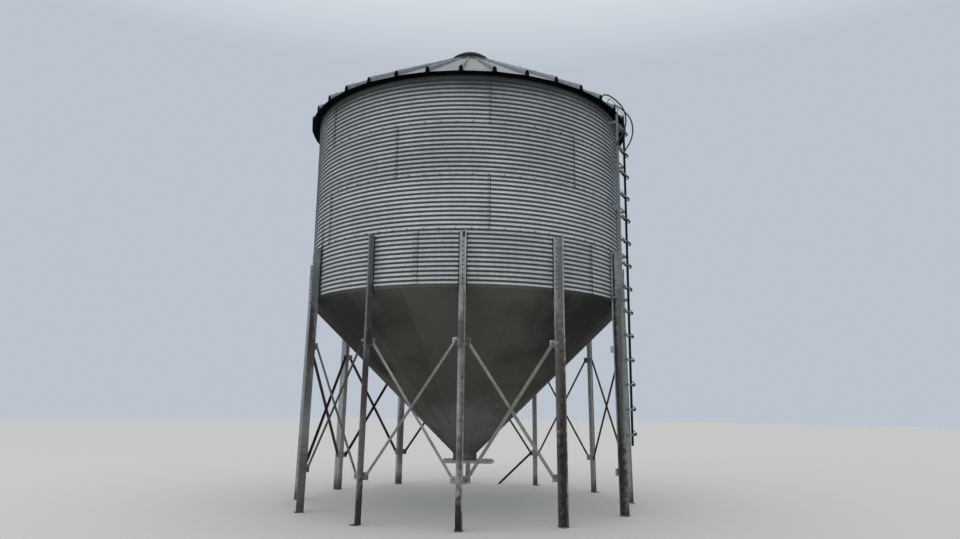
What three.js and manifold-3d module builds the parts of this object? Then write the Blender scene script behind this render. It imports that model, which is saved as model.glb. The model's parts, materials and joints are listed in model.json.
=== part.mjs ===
// Hopper-bottomed grain silo: corrugated round bin on twelve angle legs.
// Millimetres, +Z up. The origin is on the bin's axis at ground level.
// An azimuth is measured about +Z from -Y (the front leg) towards +X.

import * as THREE from 'three';
import { mergeVertices } from 'three/addons/utils/BufferGeometryUtils.js';
import Module from 'manifold-3d';

const wasm = await Module();
wasm.setup();

// Bin shell
const WALL_RADIUS = 2743;
const WALL_DEPTH = 13;
const WALL_BASE = 3314;
const RING_HEIGHT = 812.8;
const RING_NAMES = ['wall_ring_bottom', 'wall_ring_lower', 'wall_ring_upper', 'wall_ring_top'];
const WALL_TOP = WALL_BASE + RING_NAMES.length * RING_HEIGHT;
const ROUND_STEPS = 72;
const SEAT = 0.3;

// Legs and bracing
const LEG_COUNT = 12;
const LEG_PITCH = 360 / LEG_COUNT;
const LEG_TOP = 4090;
const LEG_FLANGE = 100;
const LEG_WEB = 116;
const LEG_LIP = 18;
const LEG_GAUGE = 6;
const LEG_BACK = WALL_RADIUS + SEAT;
const LEG_BEND = 3300;
const LEG_SPLAY = 55;
const FOOT_LENGTH = 132;
const FOOT_WIDTH = 112;
const FOOT_GAUGE = 8;
const GUSSET_REACH = 80;
const GUSSET_HEIGHT = 104;
const GUSSET_GAUGE = 6;
const GUSSET_LEVELS = [645, 2510];
const BRACE_WIDTH = 38;
const BRACE_GAUGE = 5;
const BRACE_OVERRUN = 24;
const SPACER_WIDTH = 30;
const SPACER_SINK = 1;
const OPEN_BAY = 2;
const STRUT_WIDTH = 44;
const STRUT_LEG = 6;
const STRUT_GROUND_ACROSS = 50;

// Hopper and outlet
const HOPPER_TOP_RADIUS = 2738;
const HOPPER_TOP = 3272;
const OUTLET_RADIUS = 206;
const HOPPER_SLOPE = 44.2;
const HOPPER_GAUGE = 7;
const BASE_RING_WIDTH = 48;
const OUTLET_GAUGE = 9;
const GATE_TOP = 692;
const GATE_DEPTH = 48;
const GATE_PLATE = 6;
const GATE_X = [-370, 474];
const GATE_HALF_WIDTH = 240;
const GATE_WALL = 10;
const LEDGE_REACH = 22;
const SLIDE_GAUGE = 6;
const SLIDE_CLEAR = 6;
const SLIDE_OVERLAP = 18;
const SLIDE_REACH = 30;
const PULL_HEIGHT = 28;
const PULL_GAUGE = 8;

// Roof
const EAVE_RADIUS = 2898;
const EAVE_TOP = 6506;
const ROOF_SLOPE = 31.5;
const ROOF_GAUGE = 7;
const PEAK_RADIUS = 355;
const RIB_COUNT = 36;
const RIB_OFFSET = -1.36;
const RIB_EAVE_HEIGHT = 90;
const RIB_PEAK_HEIGHT = 22;
const RIB_SINK = 4;
const RIB_EAVE_WIDTH = 60;
const RIB_PEAK_WIDTH = 26;
const RIB_SETBACK = 5;
const RIB_CLEAR = 8;
const EAVE_RING_INNER = 2712;
const EAVE_RING_OUTER = 2762;
const EAVE_RING_BASE = 6505;
const PEAK_COLLAR_GAUGE = 23;
const PEAK_COLLAR_BASE = 8030;
const PEAK_COLLAR_TOP = 8122;
const LID_RADIUS = 366;
const LID_INNER_RADIUS = 358;
const LID_HANG = 28;
const LID_GAUGE = 8;
const LID_FLAT_RADIUS = 100;
const LID_RISE = 150;

// Ladder
const LADDER_AZIMUTH = RIB_OFFSET + 65;
const RAIL_SPACING = 411;
const RAIL_RADIUS = 2899;
const RAIL_DEPTH = 36;
const RAIL_FLANGE = 16;
const RAIL_GAUGE = 4;
const RAIL_FOOT = 1016;
const RAIL_TOP = 6452;
const TREAD_COUNT = 14;
const FIRST_TREAD = 1210;
const TREAD_PITCH = 386.5;
const TREAD_REACH = 62;
const TREAD_HEIGHT = 28;
const TREAD_GAUGE = 4;
const TREAD_LAP = 8;
const STRAP_WIDTH = 24;
const STRAP_GAUGE = 8;
const STRAP_INSET = 10;
const STRAP_ROUTE = [[2912, 6412], [2912, 6530], [2902, 6600], [2800, 6742], [2756, 6742], [2734, 6598.5]];
const BRACKET_LEVELS = [3350, 4075, 4855, 5643, 6315];
const BRACKET_HEIGHT = 40;
const BRACKET_GAUGE = 6;
const BRACKET_SINK = 20;
const WALL_CUT_DEPTH = 60;
const GRAB_RADIUS = 12.5;
const GRAB_FOOT = 60;
const GRAB_FOOT_GAUGE = 10;
const GRAB_FOOT_SINK = 2;
const GRAB_ROUTE = [
  [2644, 6733], [2650, 6785], [2690, 6826], [2770, 6800], [2868, 6716], [2948, 6622], [3000, 6546],
  [3038, 6450], [3054, 6340], [3050, 6240], [3012, 6110], [2960, 6020], [2910, 5950], [2899, 5890],
];

const FINISH = {
  wall: { color: 0x9a9fa1, roughness: 0.5, metalness: 0.7 },
  leg: { color: 0x77797a, roughness: 0.6, metalness: 0.6 },
  brace: { color: 0x8b8d8b, roughness: 0.6, metalness: 0.6 },
  hopper: { color: 0x55585a, roughness: 0.5, metalness: 0.7 },
  outlet: { color: 0x808080, roughness: 0.6, metalness: 0.5 },
  roof: { color: 0x8d9294, roughness: 0.45, metalness: 0.7 },
  trim: { color: 0x2b2d2e, roughness: 0.7, metalness: 0.3 },
  ladder: { color: 0x6c7072, roughness: 0.55, metalness: 0.6 },
};

const silo = new THREE.Group();
silo.name = 'grain_silo';

const radians = THREE.MathUtils.degToRad;
const roofRise = Math.tan(radians(ROOF_SLOPE));

// Height of the roof sheet's upper face at a radius.
function roofTop(radius) {
  return EAVE_TOP + (EAVE_RADIUS - radius) * roofRise;
}

// Joins coincident corners and turns the faces outwards.
function closed(geometry) {
  const bare = geometry.clone();
  bare.deleteAttribute('normal');
  bare.deleteAttribute('uv');
  const merged = mergeVertices(bare, 1e-3);
  const place = merged.getAttribute('position');
  const corners = Array.from(merged.getIndex().array);
  const [a, b, c] = [new THREE.Vector3(), new THREE.Vector3(), new THREE.Vector3()];
  const kept = [];
  let volume = 0;
  for (let i = 0; i < corners.length; i += 3) {
    const [p, q, r] = corners.slice(i, i + 3);
    if (p === q || q === r || r === p) continue;
    a.fromBufferAttribute(place, p);
    b.fromBufferAttribute(place, q);
    c.fromBufferAttribute(place, r);
    volume += a.dot(b.cross(c));
    kept.push(p, q, r);
  }
  if (volume < 0) kept.reverse();
  merged.setIndex(kept);
  return merged;
}

// Turns a three.js geometry into a solid that can be joined and cut.
function solid(geometry) {
  const shell = closed(geometry);
  const vertProperties = new Float32Array(shell.getAttribute('position').array);
  const triVerts = new Uint32Array(shell.getIndex().array);
  return new wasm.Manifold(new wasm.Mesh({ numProp: 3, vertProperties, triVerts }));
}

// Gives a solid back as a three.js geometry.
function toGeometry(body) {
  const mesh = body.getMesh();
  const geometry = new THREE.BufferGeometry();
  geometry.setAttribute('position', new THREE.BufferAttribute(mesh.vertProperties, 3));
  geometry.setIndex(new THREE.BufferAttribute(mesh.triVerts, 1));
  return geometry;
}

// Joins several geometries into one body.
function join(geometries) {
  return geometries.map(solid).reduce((whole, piece) => whole.add(piece));
}

// Adds a named mesh, turned about the bin's axis by an azimuth in degrees.
function addPiece(name, geometry, finish, azimuth = 0) {
  const shape = geometry.toNonIndexed();
  shape.computeVertexNormals();
  const mesh = new THREE.Mesh(shape, new THREE.MeshStandardMaterial(finish));
  mesh.name = name;
  mesh.rotation.z = radians(azimuth);
  silo.add(mesh);
  return mesh;
}

// A ring or cone: a closed profile of [radius, height] points turned about +Z.
function turned(profile, azimuth = 0, steps = ROUND_STEPS) {
  const points = profile.map(([radius, height]) => new THREE.Vector2(radius, height));
  points.push(points[0].clone());
  const ring = new THREE.LatheGeometry(points, steps, radians(azimuth));
  return closed(ring.rotateX(Math.PI / 2));
}

// A disc-like body: a profile of [radius, height] points that starts and ends on the axis.
function turnedCap(profile, steps = ROUND_STEPS) {
  const points = profile.map(([radius, height]) => new THREE.Vector2(radius, height));
  return closed(new THREE.LatheGeometry(points, steps).rotateX(Math.PI / 2));
}

// A box between two corners.
function block([x0, y0, z0], [x1, y1, z1]) {
  const box = new THREE.BoxGeometry(x1 - x0, y1 - y0, z1 - z0);
  return box.translate((x0 + x1) / 2, (y0 + y1) / 2, (z0 + z1) / 2);
}

// An outline of [across, radius] points at azimuth 0, drawn up between two heights.
function upright(outline, bottom, top, steps = 1) {
  const shape = new THREE.Shape(outline.map(([across, radius]) => new THREE.Vector2(across, -radius)));
  const post = new THREE.ExtrudeGeometry(shape, { depth: top - bottom, steps, bevelEnabled: false });
  return post.translate(0, 0, bottom);
}

// An outline of [radius, height] points at azimuth 0, drawn across between two offsets.
function sideways(outline, from, to) {
  const shape = new THREE.Shape(outline.map(([radius, height]) => new THREE.Vector2(radius, height)));
  const bar = new THREE.ExtrudeGeometry(shape, { depth: to - from, bevelEnabled: false });
  const turn = new THREE.Matrix4().makeBasis(
    new THREE.Vector3(0, -1, 0),
    new THREE.Vector3(0, 0, 1),
    new THREE.Vector3(-1, 0, 0),
  );
  return bar.applyMatrix4(turn).translate(to, 0, 0);
}

// A strip of even thickness along a bent line of [radius, height] points.
function strapOutline(line, gauge) {
  const points = line.map(([radius, height]) => new THREE.Vector2(radius, height));
  const normals = points.map((point, i) => {
    const before = points[Math.max(i - 1, 0)];
    const after = points[Math.min(i + 1, points.length - 1)];
    const way = after.clone().sub(before).normalize();
    return new THREE.Vector2(-way.y, way.x).multiplyScalar(gauge / 2);
  });
  const near = points.map((point, i) => point.clone().sub(normals[i]));
  const far = points.map((point, i) => point.clone().add(normals[i]));
  return [...near, ...far.reverse()].map((point) => [point.x, point.y]);
}

// Wall: four rings bolted one above the other
function wallRing(index) {
  const bottom = WALL_BASE + index * RING_HEIGHT + SEAT / 2;
  const top = bottom + RING_HEIGHT - SEAT;
  const inner = WALL_RADIUS - WALL_DEPTH;
  return turned([[inner, bottom], [WALL_RADIUS, bottom], [WALL_RADIUS, top], [inner, top]]);
}

RING_NAMES.forEach((name, index) => addPiece(name, wallRing(index), FINISH.wall));

// Legs: a flange bolted on the wall's crests, a web standing out from its right-hand edge
// Below the wall each leg leans out, so that its foot stands LEG_SPLAY outside the wall's line.
const legEdge = LEG_FLANGE / 2;
const gussetTurn = LEG_PITCH / 2;
const gussetLine = LEG_BACK + LEG_GAUGE / 2;

// Leans a body from below the bend out by a share of the legs' own lean: all of it at the ground.
function leaned(body, share = 1) {
  const lean = new THREE.Matrix4().set(
    1, 0, 0, 0,
    0, 1, (share * LEG_SPLAY) / LEG_BEND, -share * LEG_SPLAY,
    0, 0, 1, 0,
    0, 0, 0, 1,
  );
  return body.applyMatrix4(lean);
}

function legSection() {
  const outer = LEG_BACK + LEG_WEB;
  return [
    [-legEdge, LEG_BACK], [legEdge, LEG_BACK], [legEdge, outer], [legEdge - LEG_LIP, outer],
    [legEdge - LEG_LIP, outer - LEG_GAUGE], [legEdge - LEG_GAUGE, outer - LEG_GAUGE],
    [legEdge - LEG_GAUGE, LEG_BACK + LEG_GAUGE], [-legEdge, LEG_BACK + LEG_GAUGE],
  ];
}

// A gusset plate on one side of a leg, in the plane of that bay's bracing.
function gusset(side, level) {
  const overlap = LEG_GAUGE;
  const half = GUSSET_HEIGHT / 2;
  const plate = block([-overlap, -GUSSET_GAUGE / 2, -half], [GUSSET_REACH, GUSSET_GAUGE / 2, half]);
  if (side < 0) plate.rotateZ(Math.PI);
  plate.rotateZ(side * radians(gussetTurn));
  return leaned(plate.translate(side * legEdge, -gussetLine, level));
}

// The leg's section drawn up in two steps, the lower one leaning.
function legPost() {
  const post = upright(legSection(), 0, LEG_TOP, 2);
  const place = post.getAttribute('position');
  for (let i = 0; i < place.count; i += 1) {
    const height = place.getZ(i);
    if (height > 0 && height < LEG_TOP) place.setZ(i, LEG_BEND);
    if (height === 0) place.setY(i, place.getY(i) - LEG_SPLAY);
  }
  return post;
}

function leg() {
  const middle = LEG_BACK + LEG_WEB / 2 + LEG_SPLAY;
  const foot = block(
    [-FOOT_WIDTH / 2, -middle - FOOT_LENGTH / 2, 0],
    [FOOT_WIDTH / 2, -middle + FOOT_LENGTH / 2, FOOT_GAUGE],
  );
  const plates = GUSSET_LEVELS.flatMap((level) => [gusset(-1, level), gusset(1, level)]);
  return toGeometry(join([legPost(), foot, ...plates]));
}

// Bracing: two angle bars on opposite faces of four gussets, held apart by a spacer where they cross
const attachSetback = GUSSET_REACH / 2;

const leanShare = Math.cos(radians(gussetTurn));

// Where a bar is bolted at a height, seen from its bay's middle: across the bay and out from the axis.
function braceEnd(height) {
  const turn = radians(gussetTurn);
  const splay = LEG_SPLAY * (1 - height / LEG_BEND);
  const across = legEdge + attachSetback * Math.cos(turn);
  const radius = gussetLine + splay - attachSetback * Math.sin(turn);
  return {
    across: radius * Math.sin(turn) - across * Math.cos(turn),
    radius: radius * Math.cos(turn) + across * Math.sin(turn),
  };
}

// Distance from a gusset's middle to the middle of a bar bolted flat on it.
const barOffset = GUSSET_GAUGE / 2 + SEAT + BRACE_GAUGE / 2;
const bracePlane = braceEnd(LEG_BEND).radius;

function bracePair() {
  const [low, high] = GUSSET_LEVELS;
  const lowAcross = braceEnd(low).across;
  const highAcross = braceEnd(high).across;
  const width = lowAcross + highAcross;
  const rise = high - low;
  const length = Math.hypot(width, rise) + 2 * BRACE_OVERRUN;
  const slant = Math.atan2(width, rise);
  const reach = (BRACE_WIDTH - BRACE_GAUGE) / 2;
  // Each angle has one leg flat on the gussets; the other stands away from them on its lower edge.
  const angleBar = (turn, away) => {
    const way = Math.sign(turn);
    const flat = new THREE.BoxGeometry(BRACE_WIDTH, BRACE_GAUGE, length);
    const standing = new THREE.BoxGeometry(BRACE_GAUGE, BRACE_WIDTH, length)
      .translate(way * reach, away * reach, 0);
    const middle = [(way * (highAcross - lowAcross)) / 2, away * barOffset, (low + high) / 2];
    return [flat, standing].map((leaf) => leaf.rotateY(turn).translate(...middle));
  };
  const spacer = new THREE.BoxGeometry(
    SPACER_WIDTH,
    GUSSET_GAUGE + 2 * (SEAT + SPACER_SINK),
    SPACER_WIDTH,
  ).translate(0, 0, low + (rise * lowAcross) / width);
  const pieces = [...angleBar(slant, -1), ...angleBar(-slant, 1), spacer];
  return leaned(toGeometry(join(pieces).translate([0, -bracePlane, 0])), leanShare);
}

// One more flat bar props a far leg: from behind its lower gusset down to the ground in mid-bay.
function groundStrut() {
  const [low] = GUSSET_LEVELS;
  const { across } = braceEnd(low);
  const run = STRUT_GROUND_ACROSS + across;
  const length = Math.hypot(run, low) + 2 * BRACE_OVERRUN;
  const bar = new THREE.BoxGeometry(STRUT_WIDTH, BRACE_GAUGE, length)
    .rotateY(-Math.atan2(run, low))
    .translate((STRUT_GROUND_ACROSS - across) / 2, barOffset - bracePlane, low / 2);
  return leaned(toGeometry(solid(bar).trimByPlane([0, 0, 1], 0)), leanShare);
}

const legShape = leg();
const braceShape = bracePair();
for (let k = 0; k < LEG_COUNT; k += 1) {
  const number = String(k + 1).padStart(2, '0');
  addPiece(`leg_${number}`, legShape, FINISH.leg, k * LEG_PITCH);
  // One bay is left open as the way in to the slide gate.
  if (k + 1 === OPEN_BAY) continue;
  addPiece(`cross_brace_${number}`, braceShape, FINISH.brace, (k + 0.5) * LEG_PITCH);
}

addPiece('ground_strut', groundStrut(), FINISH.brace, (STRUT_LEG - 0.5) * LEG_PITCH);

// Hopper: a smooth cone hung from a base ring under the wall
const hopperRun = 1 / Math.tan(radians(HOPPER_SLOPE));
const hopperBottom = HOPPER_TOP - (HOPPER_TOP_RADIUS - OUTLET_RADIUS) / hopperRun;
const hopperInset = HOPPER_GAUGE / Math.sin(radians(HOPPER_SLOPE));

addPiece('hopper_cone', turned([
  [OUTLET_RADIUS, hopperBottom], [HOPPER_TOP_RADIUS, HOPPER_TOP],
  [HOPPER_TOP_RADIUS - hopperInset, HOPPER_TOP], [OUTLET_RADIUS - hopperInset, hopperBottom],
]), FINISH.hopper);

const baseRingInner = WALL_RADIUS - BASE_RING_WIDTH;
addPiece('hopper_base_ring', turned([
  [baseRingInner, HOPPER_TOP + SEAT], [WALL_RADIUS, HOPPER_TOP + SEAT],
  [WALL_RADIUS, WALL_BASE - SEAT / 2], [baseRingInner, WALL_BASE - SEAT / 2],
]), FINISH.wall);

// Outlet: a collar, and under it the frame of a slide gate
const collarTop = hopperBottom - SEAT;
const collarInner = OUTLET_RADIUS - OUTLET_GAUGE;
addPiece('outlet_collar', turned([
  [collarInner, GATE_TOP + SEAT], [OUTLET_RADIUS, GATE_TOP + SEAT],
  [OUTLET_RADIUS, collarTop], [collarInner, collarTop],
]), FINISH.hopper);

const [gateLeft, gateRight] = GATE_X;
const gateBottom = GATE_TOP - GATE_DEPTH;
const slideTop = GATE_TOP - GATE_PLATE - SLIDE_CLEAR;
const slideBottom = slideTop - SLIDE_GAUGE;
const slideHalf = GATE_HALF_WIDTH - GATE_WALL - SLIDE_CLEAR;

function gateFrame() {
  const inside = GATE_HALF_WIDTH - GATE_WALL;
  const ledgeTop = slideBottom - SEAT;
  const ledgeBottom = ledgeTop - GATE_PLATE;
  const top = block(
    [gateLeft, -GATE_HALF_WIDTH, GATE_TOP - GATE_PLATE],
    [gateRight, GATE_HALF_WIDTH, GATE_TOP],
  );
  const rail = block([gateLeft, inside, gateBottom], [gateRight, GATE_HALF_WIDTH, GATE_TOP]);
  const ledge = block(
    [gateLeft, inside - LEDGE_REACH, ledgeBottom],
    [gateRight, GATE_HALF_WIDTH, ledgeTop],
  );
  const sides = [rail, ledge].flatMap((piece) => [piece, piece.clone().scale(1, -1, 1)]);
  const back = block(
    [gateLeft, -GATE_HALF_WIDTH, gateBottom],
    [gateLeft + GATE_WALL, GATE_HALF_WIDTH, GATE_TOP],
  );
  const front = block(
    [gateRight - GATE_WALL, -GATE_HALF_WIDTH, gateBottom],
    [gateRight, GATE_HALF_WIDTH, ledgeTop],
  );
  const holeTop = GATE_TOP + GATE_PLATE;
  const hole = turnedCap([
    [0, gateBottom], [collarInner, gateBottom], [collarInner, holeTop], [0, holeTop],
  ]);
  return toGeometry(join([top, back, front, ...sides]).subtract(solid(hole)));
}

addPiece('gate_frame', gateFrame(), FINISH.outlet);

// The slide: a plate that closes the outlet, with a pull bar across its outer end
function slideGate() {
  const left = -(collarInner + SLIDE_OVERLAP);
  const right = gateRight + SLIDE_REACH;
  const plate = block([left, -slideHalf, slideBottom], [right, slideHalf, slideTop]);
  const pull = block(
    [right - PULL_GAUGE, -slideHalf, slideBottom - PULL_HEIGHT],
    [right, slideHalf, slideTop],
  );
  return toGeometry(join([plate, pull]));
}

addPiece('slide_gate', slideGate(), FINISH.outlet);

// Roof: a cone that overhangs the wall, with ribs that grow towards the eave
const innerEnd = LID_RADIUS + RIB_CLEAR;
const outerEnd = EAVE_RADIUS - RIB_SETBACK;

// How far a rib stands above the roof sheet at a radius.
function ribHeight(radius) {
  return THREE.MathUtils.mapLinear(radius, innerEnd, outerEnd, RIB_PEAK_HEIGHT, RIB_EAVE_HEIGHT);
}

function roofSheet() {
  const ribs = [];
  const slope = new THREE.Matrix4().set(
    1, 0, 0, 0,
    0, 1, 0, 0,
    0, roofRise, 1, roofTop(0) - RIB_SINK,
    0, 0, 0, 1,
  );
  for (let k = 0; k < RIB_COUNT; k += 1) {
    const outline = [
      [-RIB_EAVE_WIDTH / 2, outerEnd], [RIB_EAVE_WIDTH / 2, outerEnd],
      [RIB_PEAK_WIDTH / 2, innerEnd], [-RIB_PEAK_WIDTH / 2, innerEnd],
    ];
    const rib = upright(outline, 0, RIB_EAVE_HEIGHT);
    const place = rib.getAttribute('position');
    for (let i = 0; i < place.count; i += 1) {
      if (place.getZ(i) > 0) place.setZ(i, ribHeight(-place.getY(i)) + RIB_SINK);
    }
    rib.applyMatrix4(slope);
    ribs.push(rib.rotateZ(radians(RIB_OFFSET + (k * 360) / RIB_COUNT)));
  }
  const sheet = turned([
    [PEAK_RADIUS, roofTop(PEAK_RADIUS) - ROOF_GAUGE], [EAVE_RADIUS, EAVE_TOP - ROOF_GAUGE],
    [EAVE_RADIUS, EAVE_TOP], [PEAK_RADIUS, roofTop(PEAK_RADIUS)],
  ], RIB_OFFSET);
  return join([sheet, ...ribs]);
}

const roof = roofSheet();
addPiece('roof', toGeometry(roof), FINISH.roof);

// Eave ring: the angle on the wall's top edge that carries the roof
const facetDip = EAVE_RADIUS * (1 / Math.cos(Math.PI / ROUND_STEPS) - 1) * roofRise;
const roofGap = SEAT / Math.cos(radians(ROOF_SLOPE));

// Height just under the roof sheet, clear of the middles of its flat facets.
function underRoof(radius) {
  return roofTop(radius) - ROOF_GAUGE - facetDip - roofGap;
}

addPiece('eave_ring', turned([
  [WALL_RADIUS + SEAT, EAVE_RING_BASE], [EAVE_RING_OUTER, EAVE_RING_BASE],
  [EAVE_RING_OUTER, underRoof(EAVE_RING_OUTER)], [EAVE_RING_INNER, underRoof(EAVE_RING_INNER)],
  [EAVE_RING_INNER, WALL_TOP + SEAT], [WALL_RADIUS + SEAT, WALL_TOP + SEAT],
]), FINISH.trim);

// Peak: an upstanding collar in the roof's middle and the lid over it
const peakOuter = PEAK_RADIUS * Math.cos(Math.PI / ROUND_STEPS) - SEAT;
const peakInner = peakOuter - PEAK_COLLAR_GAUGE;
addPiece('peak_collar', turned([
  [peakInner, PEAK_COLLAR_BASE], [peakOuter, PEAK_COLLAR_BASE],
  [peakOuter, PEAK_COLLAR_TOP], [peakInner, PEAK_COLLAR_TOP],
]), FINISH.roof);

const lidSeat = PEAK_COLLAR_TOP + SEAT;
const lidTop = lidSeat + LID_RISE;
addPiece('peak_lid', turnedCap([
  [0, lidSeat], [LID_INNER_RADIUS, lidSeat],
  [LID_INNER_RADIUS, lidSeat - LID_HANG], [LID_RADIUS, lidSeat - LID_HANG],
  [LID_RADIUS, lidSeat + LID_GAUGE], [LID_FLAT_RADIUS, lidTop], [0, lidTop],
], ROUND_STEPS / 2), FINISH.roof);

// Ladder: two channel rails, pressed treads in front of them, and straps over the eave
const railHalf = RAIL_SPACING / 2;
const railOuter = RAIL_RADIUS + RAIL_DEPTH / 2;
const railInner = RAIL_RADIUS - RAIL_DEPTH / 2;
const railFace = railHalf + RAIL_FLANGE / 2;
const roofCutter = roof.translate([0, 0, roofGap]);

// Turns a piece built at azimuth 0 to the ladder, cuts it by a body there and turns it back.
function cutAtLadder(body, cutter) {
  return body.rotate([0, 0, LADDER_AZIMUTH]).subtract(cutter).rotate([0, 0, -LADDER_AZIMUTH]);
}

function ladderRail(side) {
  const face = side * railFace;
  const web = face - side * RAIL_GAUGE;
  const tip = face - side * RAIL_FLANGE;
  return upright([
    [face, railInner], [face, railOuter], [tip, railOuter], [tip, railOuter - RAIL_GAUGE],
    [web, railOuter - RAIL_GAUGE], [web, railInner + RAIL_GAUGE],
    [tip, railInner + RAIL_GAUGE], [tip, railInner],
  ], RAIL_FOOT, RAIL_TOP);
}

function tread(level) {
  const outer = RAIL_RADIUS + TREAD_REACH;
  const inner = railOuter - TREAD_LAP;
  const bottom = level - TREAD_HEIGHT;
  const under = level - TREAD_GAUGE;
  return sideways([
    [inner, bottom], [inner, level], [outer, level], [outer, bottom],
    [outer - TREAD_GAUGE, bottom], [outer - TREAD_GAUGE, under],
    [inner + TREAD_GAUGE, under], [inner + TREAD_GAUGE, bottom],
  ], -railFace, railFace);
}

function eaveStrap(side) {
  const middle = side * (railHalf - STRAP_INSET);
  const outline = strapOutline(STRAP_ROUTE, STRAP_GAUGE);
  return sideways(outline, middle - STRAP_WIDTH / 2, middle + STRAP_WIDTH / 2);
}

function ladder() {
  const pieces = [ladderRail(-1), ladderRail(1), eaveStrap(-1), eaveStrap(1)];
  for (let i = 0; i < TREAD_COUNT; i += 1) pieces.push(tread(FIRST_TREAD + i * TREAD_PITCH));
  return toGeometry(cutAtLadder(join(pieces), roofCutter));
}

addPiece('ladder', ladder(), FINISH.ladder, LADDER_AZIMUTH);

// Stand-off brackets: two flats from the wall to the rails, tied by a cross bar
// Their wall ends are cut to the wall and to the flange of the leg that one of them lands on.
const ladderLeg = Math.round(LADDER_AZIMUTH / LEG_PITCH) * LEG_PITCH;
const legFace = LEG_BACK + LEG_GAUGE + SEAT;
const wallCutInner = WALL_RADIUS - WALL_CUT_DEPTH;
const flangeCut = block(
  [-legEdge - SEAT, -legFace, 0],
  [legEdge + SEAT, -wallCutInner, LEG_TOP + SEAT],
);
const wallCut = turned([
  [wallCutInner, 0], [WALL_RADIUS + SEAT, 0],
  [WALL_RADIUS + SEAT, WALL_TOP], [wallCutInner, WALL_TOP],
]);
const bracketCutter = join([wallCut, flangeCut.rotateZ(radians(ladderLeg))]);

function ladderBracket(level) {
  const low = level - BRACKET_HEIGHT / 2;
  const high = level + BRACKET_HEIGHT / 2;
  const wallEnd = WALL_RADIUS - BRACKET_SINK;
  const railEnd = railInner - SEAT;
  const flats = [-1, 1].map((side) => {
    const middle = side * (railFace - BRACKET_GAUGE / 2);
    return block([middle - BRACKET_GAUGE / 2, -railEnd, low], [middle + BRACKET_GAUGE / 2, -wallEnd, high]);
  });
  const bar = block([-railFace, -railEnd, low], [railFace, -(railEnd - BRACKET_GAUGE), high]);
  return toGeometry(cutAtLadder(join([...flats, bar]), bracketCutter));
}

BRACKET_LEVELS.forEach((level, index) => {
  addPiece(`ladder_bracket_${index + 1}`, ladderBracket(level), FINISH.ladder, LADDER_AZIMUTH);
});

// Grab rails: one tube each side, from the roof out over the eave and back to the ladder
function grabRail(side) {
  const across = side * (railFace + SEAT + GRAB_RADIUS);
  const route = GRAB_ROUTE.map(([radius, height]) => new THREE.Vector3(across, -radius, height));
  const curve = new THREE.CatmullRomCurve3(route, false, 'centripetal');
  const circle = new THREE.Shape();
  circle.absarc(0, 0, GRAB_RADIUS, 0, Math.PI * 2);
  const tube = new THREE.ExtrudeGeometry(circle, { steps: 32, curveSegments: 4, extrudePath: curve });
  const [footRadius] = GRAB_ROUTE[0];
  const foot = block(
    [across - GRAB_FOOT / 2, -GRAB_FOOT / 2, -GRAB_FOOT_SINK],
    [across + GRAB_FOOT / 2, GRAB_FOOT / 2, GRAB_FOOT_GAUGE - GRAB_FOOT_SINK],
  );
  const alongRib = Math.hypot(footRadius, across);
  const ribTop = roofTop(alongRib) + ribHeight(alongRib);
  foot.rotateX(radians(ROOF_SLOPE)).translate(0, -footRadius, ribTop);
  return toGeometry(cutAtLadder(join([tube, foot]), roofCutter));
}

addPiece('grab_rail_left', grabRail(-1), FINISH.ladder, LADDER_AZIMUTH);
addPiece('grab_rail_right', grabRail(1), FINISH.ladder, LADDER_AZIMUTH);

export default silo;
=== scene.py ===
"""Looks of a hopper-bottomed grain silo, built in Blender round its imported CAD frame.

Metres, +Z up. The bin's axis is the Z axis, the feet stand on z = 0 and the front leg is towards
-Y. An azimuth is in degrees round the axis from the front leg, towards +X.
"""

import json
import logging
import math
import random
from dataclasses import dataclass, field, replace
from enum import Enum
from typing import Any, Iterable, Sequence

import bmesh
import bpy
from mathutils import Matrix, Vector

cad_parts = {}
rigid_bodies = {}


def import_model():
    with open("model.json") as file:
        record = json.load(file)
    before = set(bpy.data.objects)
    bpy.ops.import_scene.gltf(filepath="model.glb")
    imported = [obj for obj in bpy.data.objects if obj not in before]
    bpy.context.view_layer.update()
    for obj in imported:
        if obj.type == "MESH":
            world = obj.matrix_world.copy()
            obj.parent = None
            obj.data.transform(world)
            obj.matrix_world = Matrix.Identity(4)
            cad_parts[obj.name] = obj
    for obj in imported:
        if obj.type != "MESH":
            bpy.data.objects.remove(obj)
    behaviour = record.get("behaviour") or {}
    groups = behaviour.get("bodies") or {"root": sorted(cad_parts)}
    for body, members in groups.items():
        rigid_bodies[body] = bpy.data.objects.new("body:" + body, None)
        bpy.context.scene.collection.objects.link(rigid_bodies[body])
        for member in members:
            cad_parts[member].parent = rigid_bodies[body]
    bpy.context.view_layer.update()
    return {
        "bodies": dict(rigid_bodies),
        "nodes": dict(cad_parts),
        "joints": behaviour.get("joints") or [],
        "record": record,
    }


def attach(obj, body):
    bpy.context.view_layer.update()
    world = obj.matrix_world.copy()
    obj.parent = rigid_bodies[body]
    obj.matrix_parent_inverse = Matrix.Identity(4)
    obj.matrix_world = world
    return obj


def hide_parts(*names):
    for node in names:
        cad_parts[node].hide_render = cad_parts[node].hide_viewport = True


log = logging.getLogger("grain_silo")

SILO_BODY = "silo"
TONE_LAYER = "sheet_tone"
LEG_COUNT = 12
LEG_STEP = 360 / LEG_COUNT
MM = 0.001
WELD_DISTANCE = 1e-6
PIECE_SHARP = 40.0
SMALL_SHARP = 25.0

# The wall's corrugation: how high its first crest lies, and how far apart its crests are.
FIRST_CREST = 3.325
CREST_PITCH = 67.89 * MM

Profile = Sequence[tuple[float, float]]


# ---------------------------------------------------------------- places and meshes


def polar(azimuth: float, radius: float, height: float) -> Vector:
    """Gives the point at an azimuth, a radius from the axis and a height."""
    turn = math.radians(azimuth)
    return Vector((radius * math.sin(turn), -radius * math.cos(turn), height))


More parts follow.
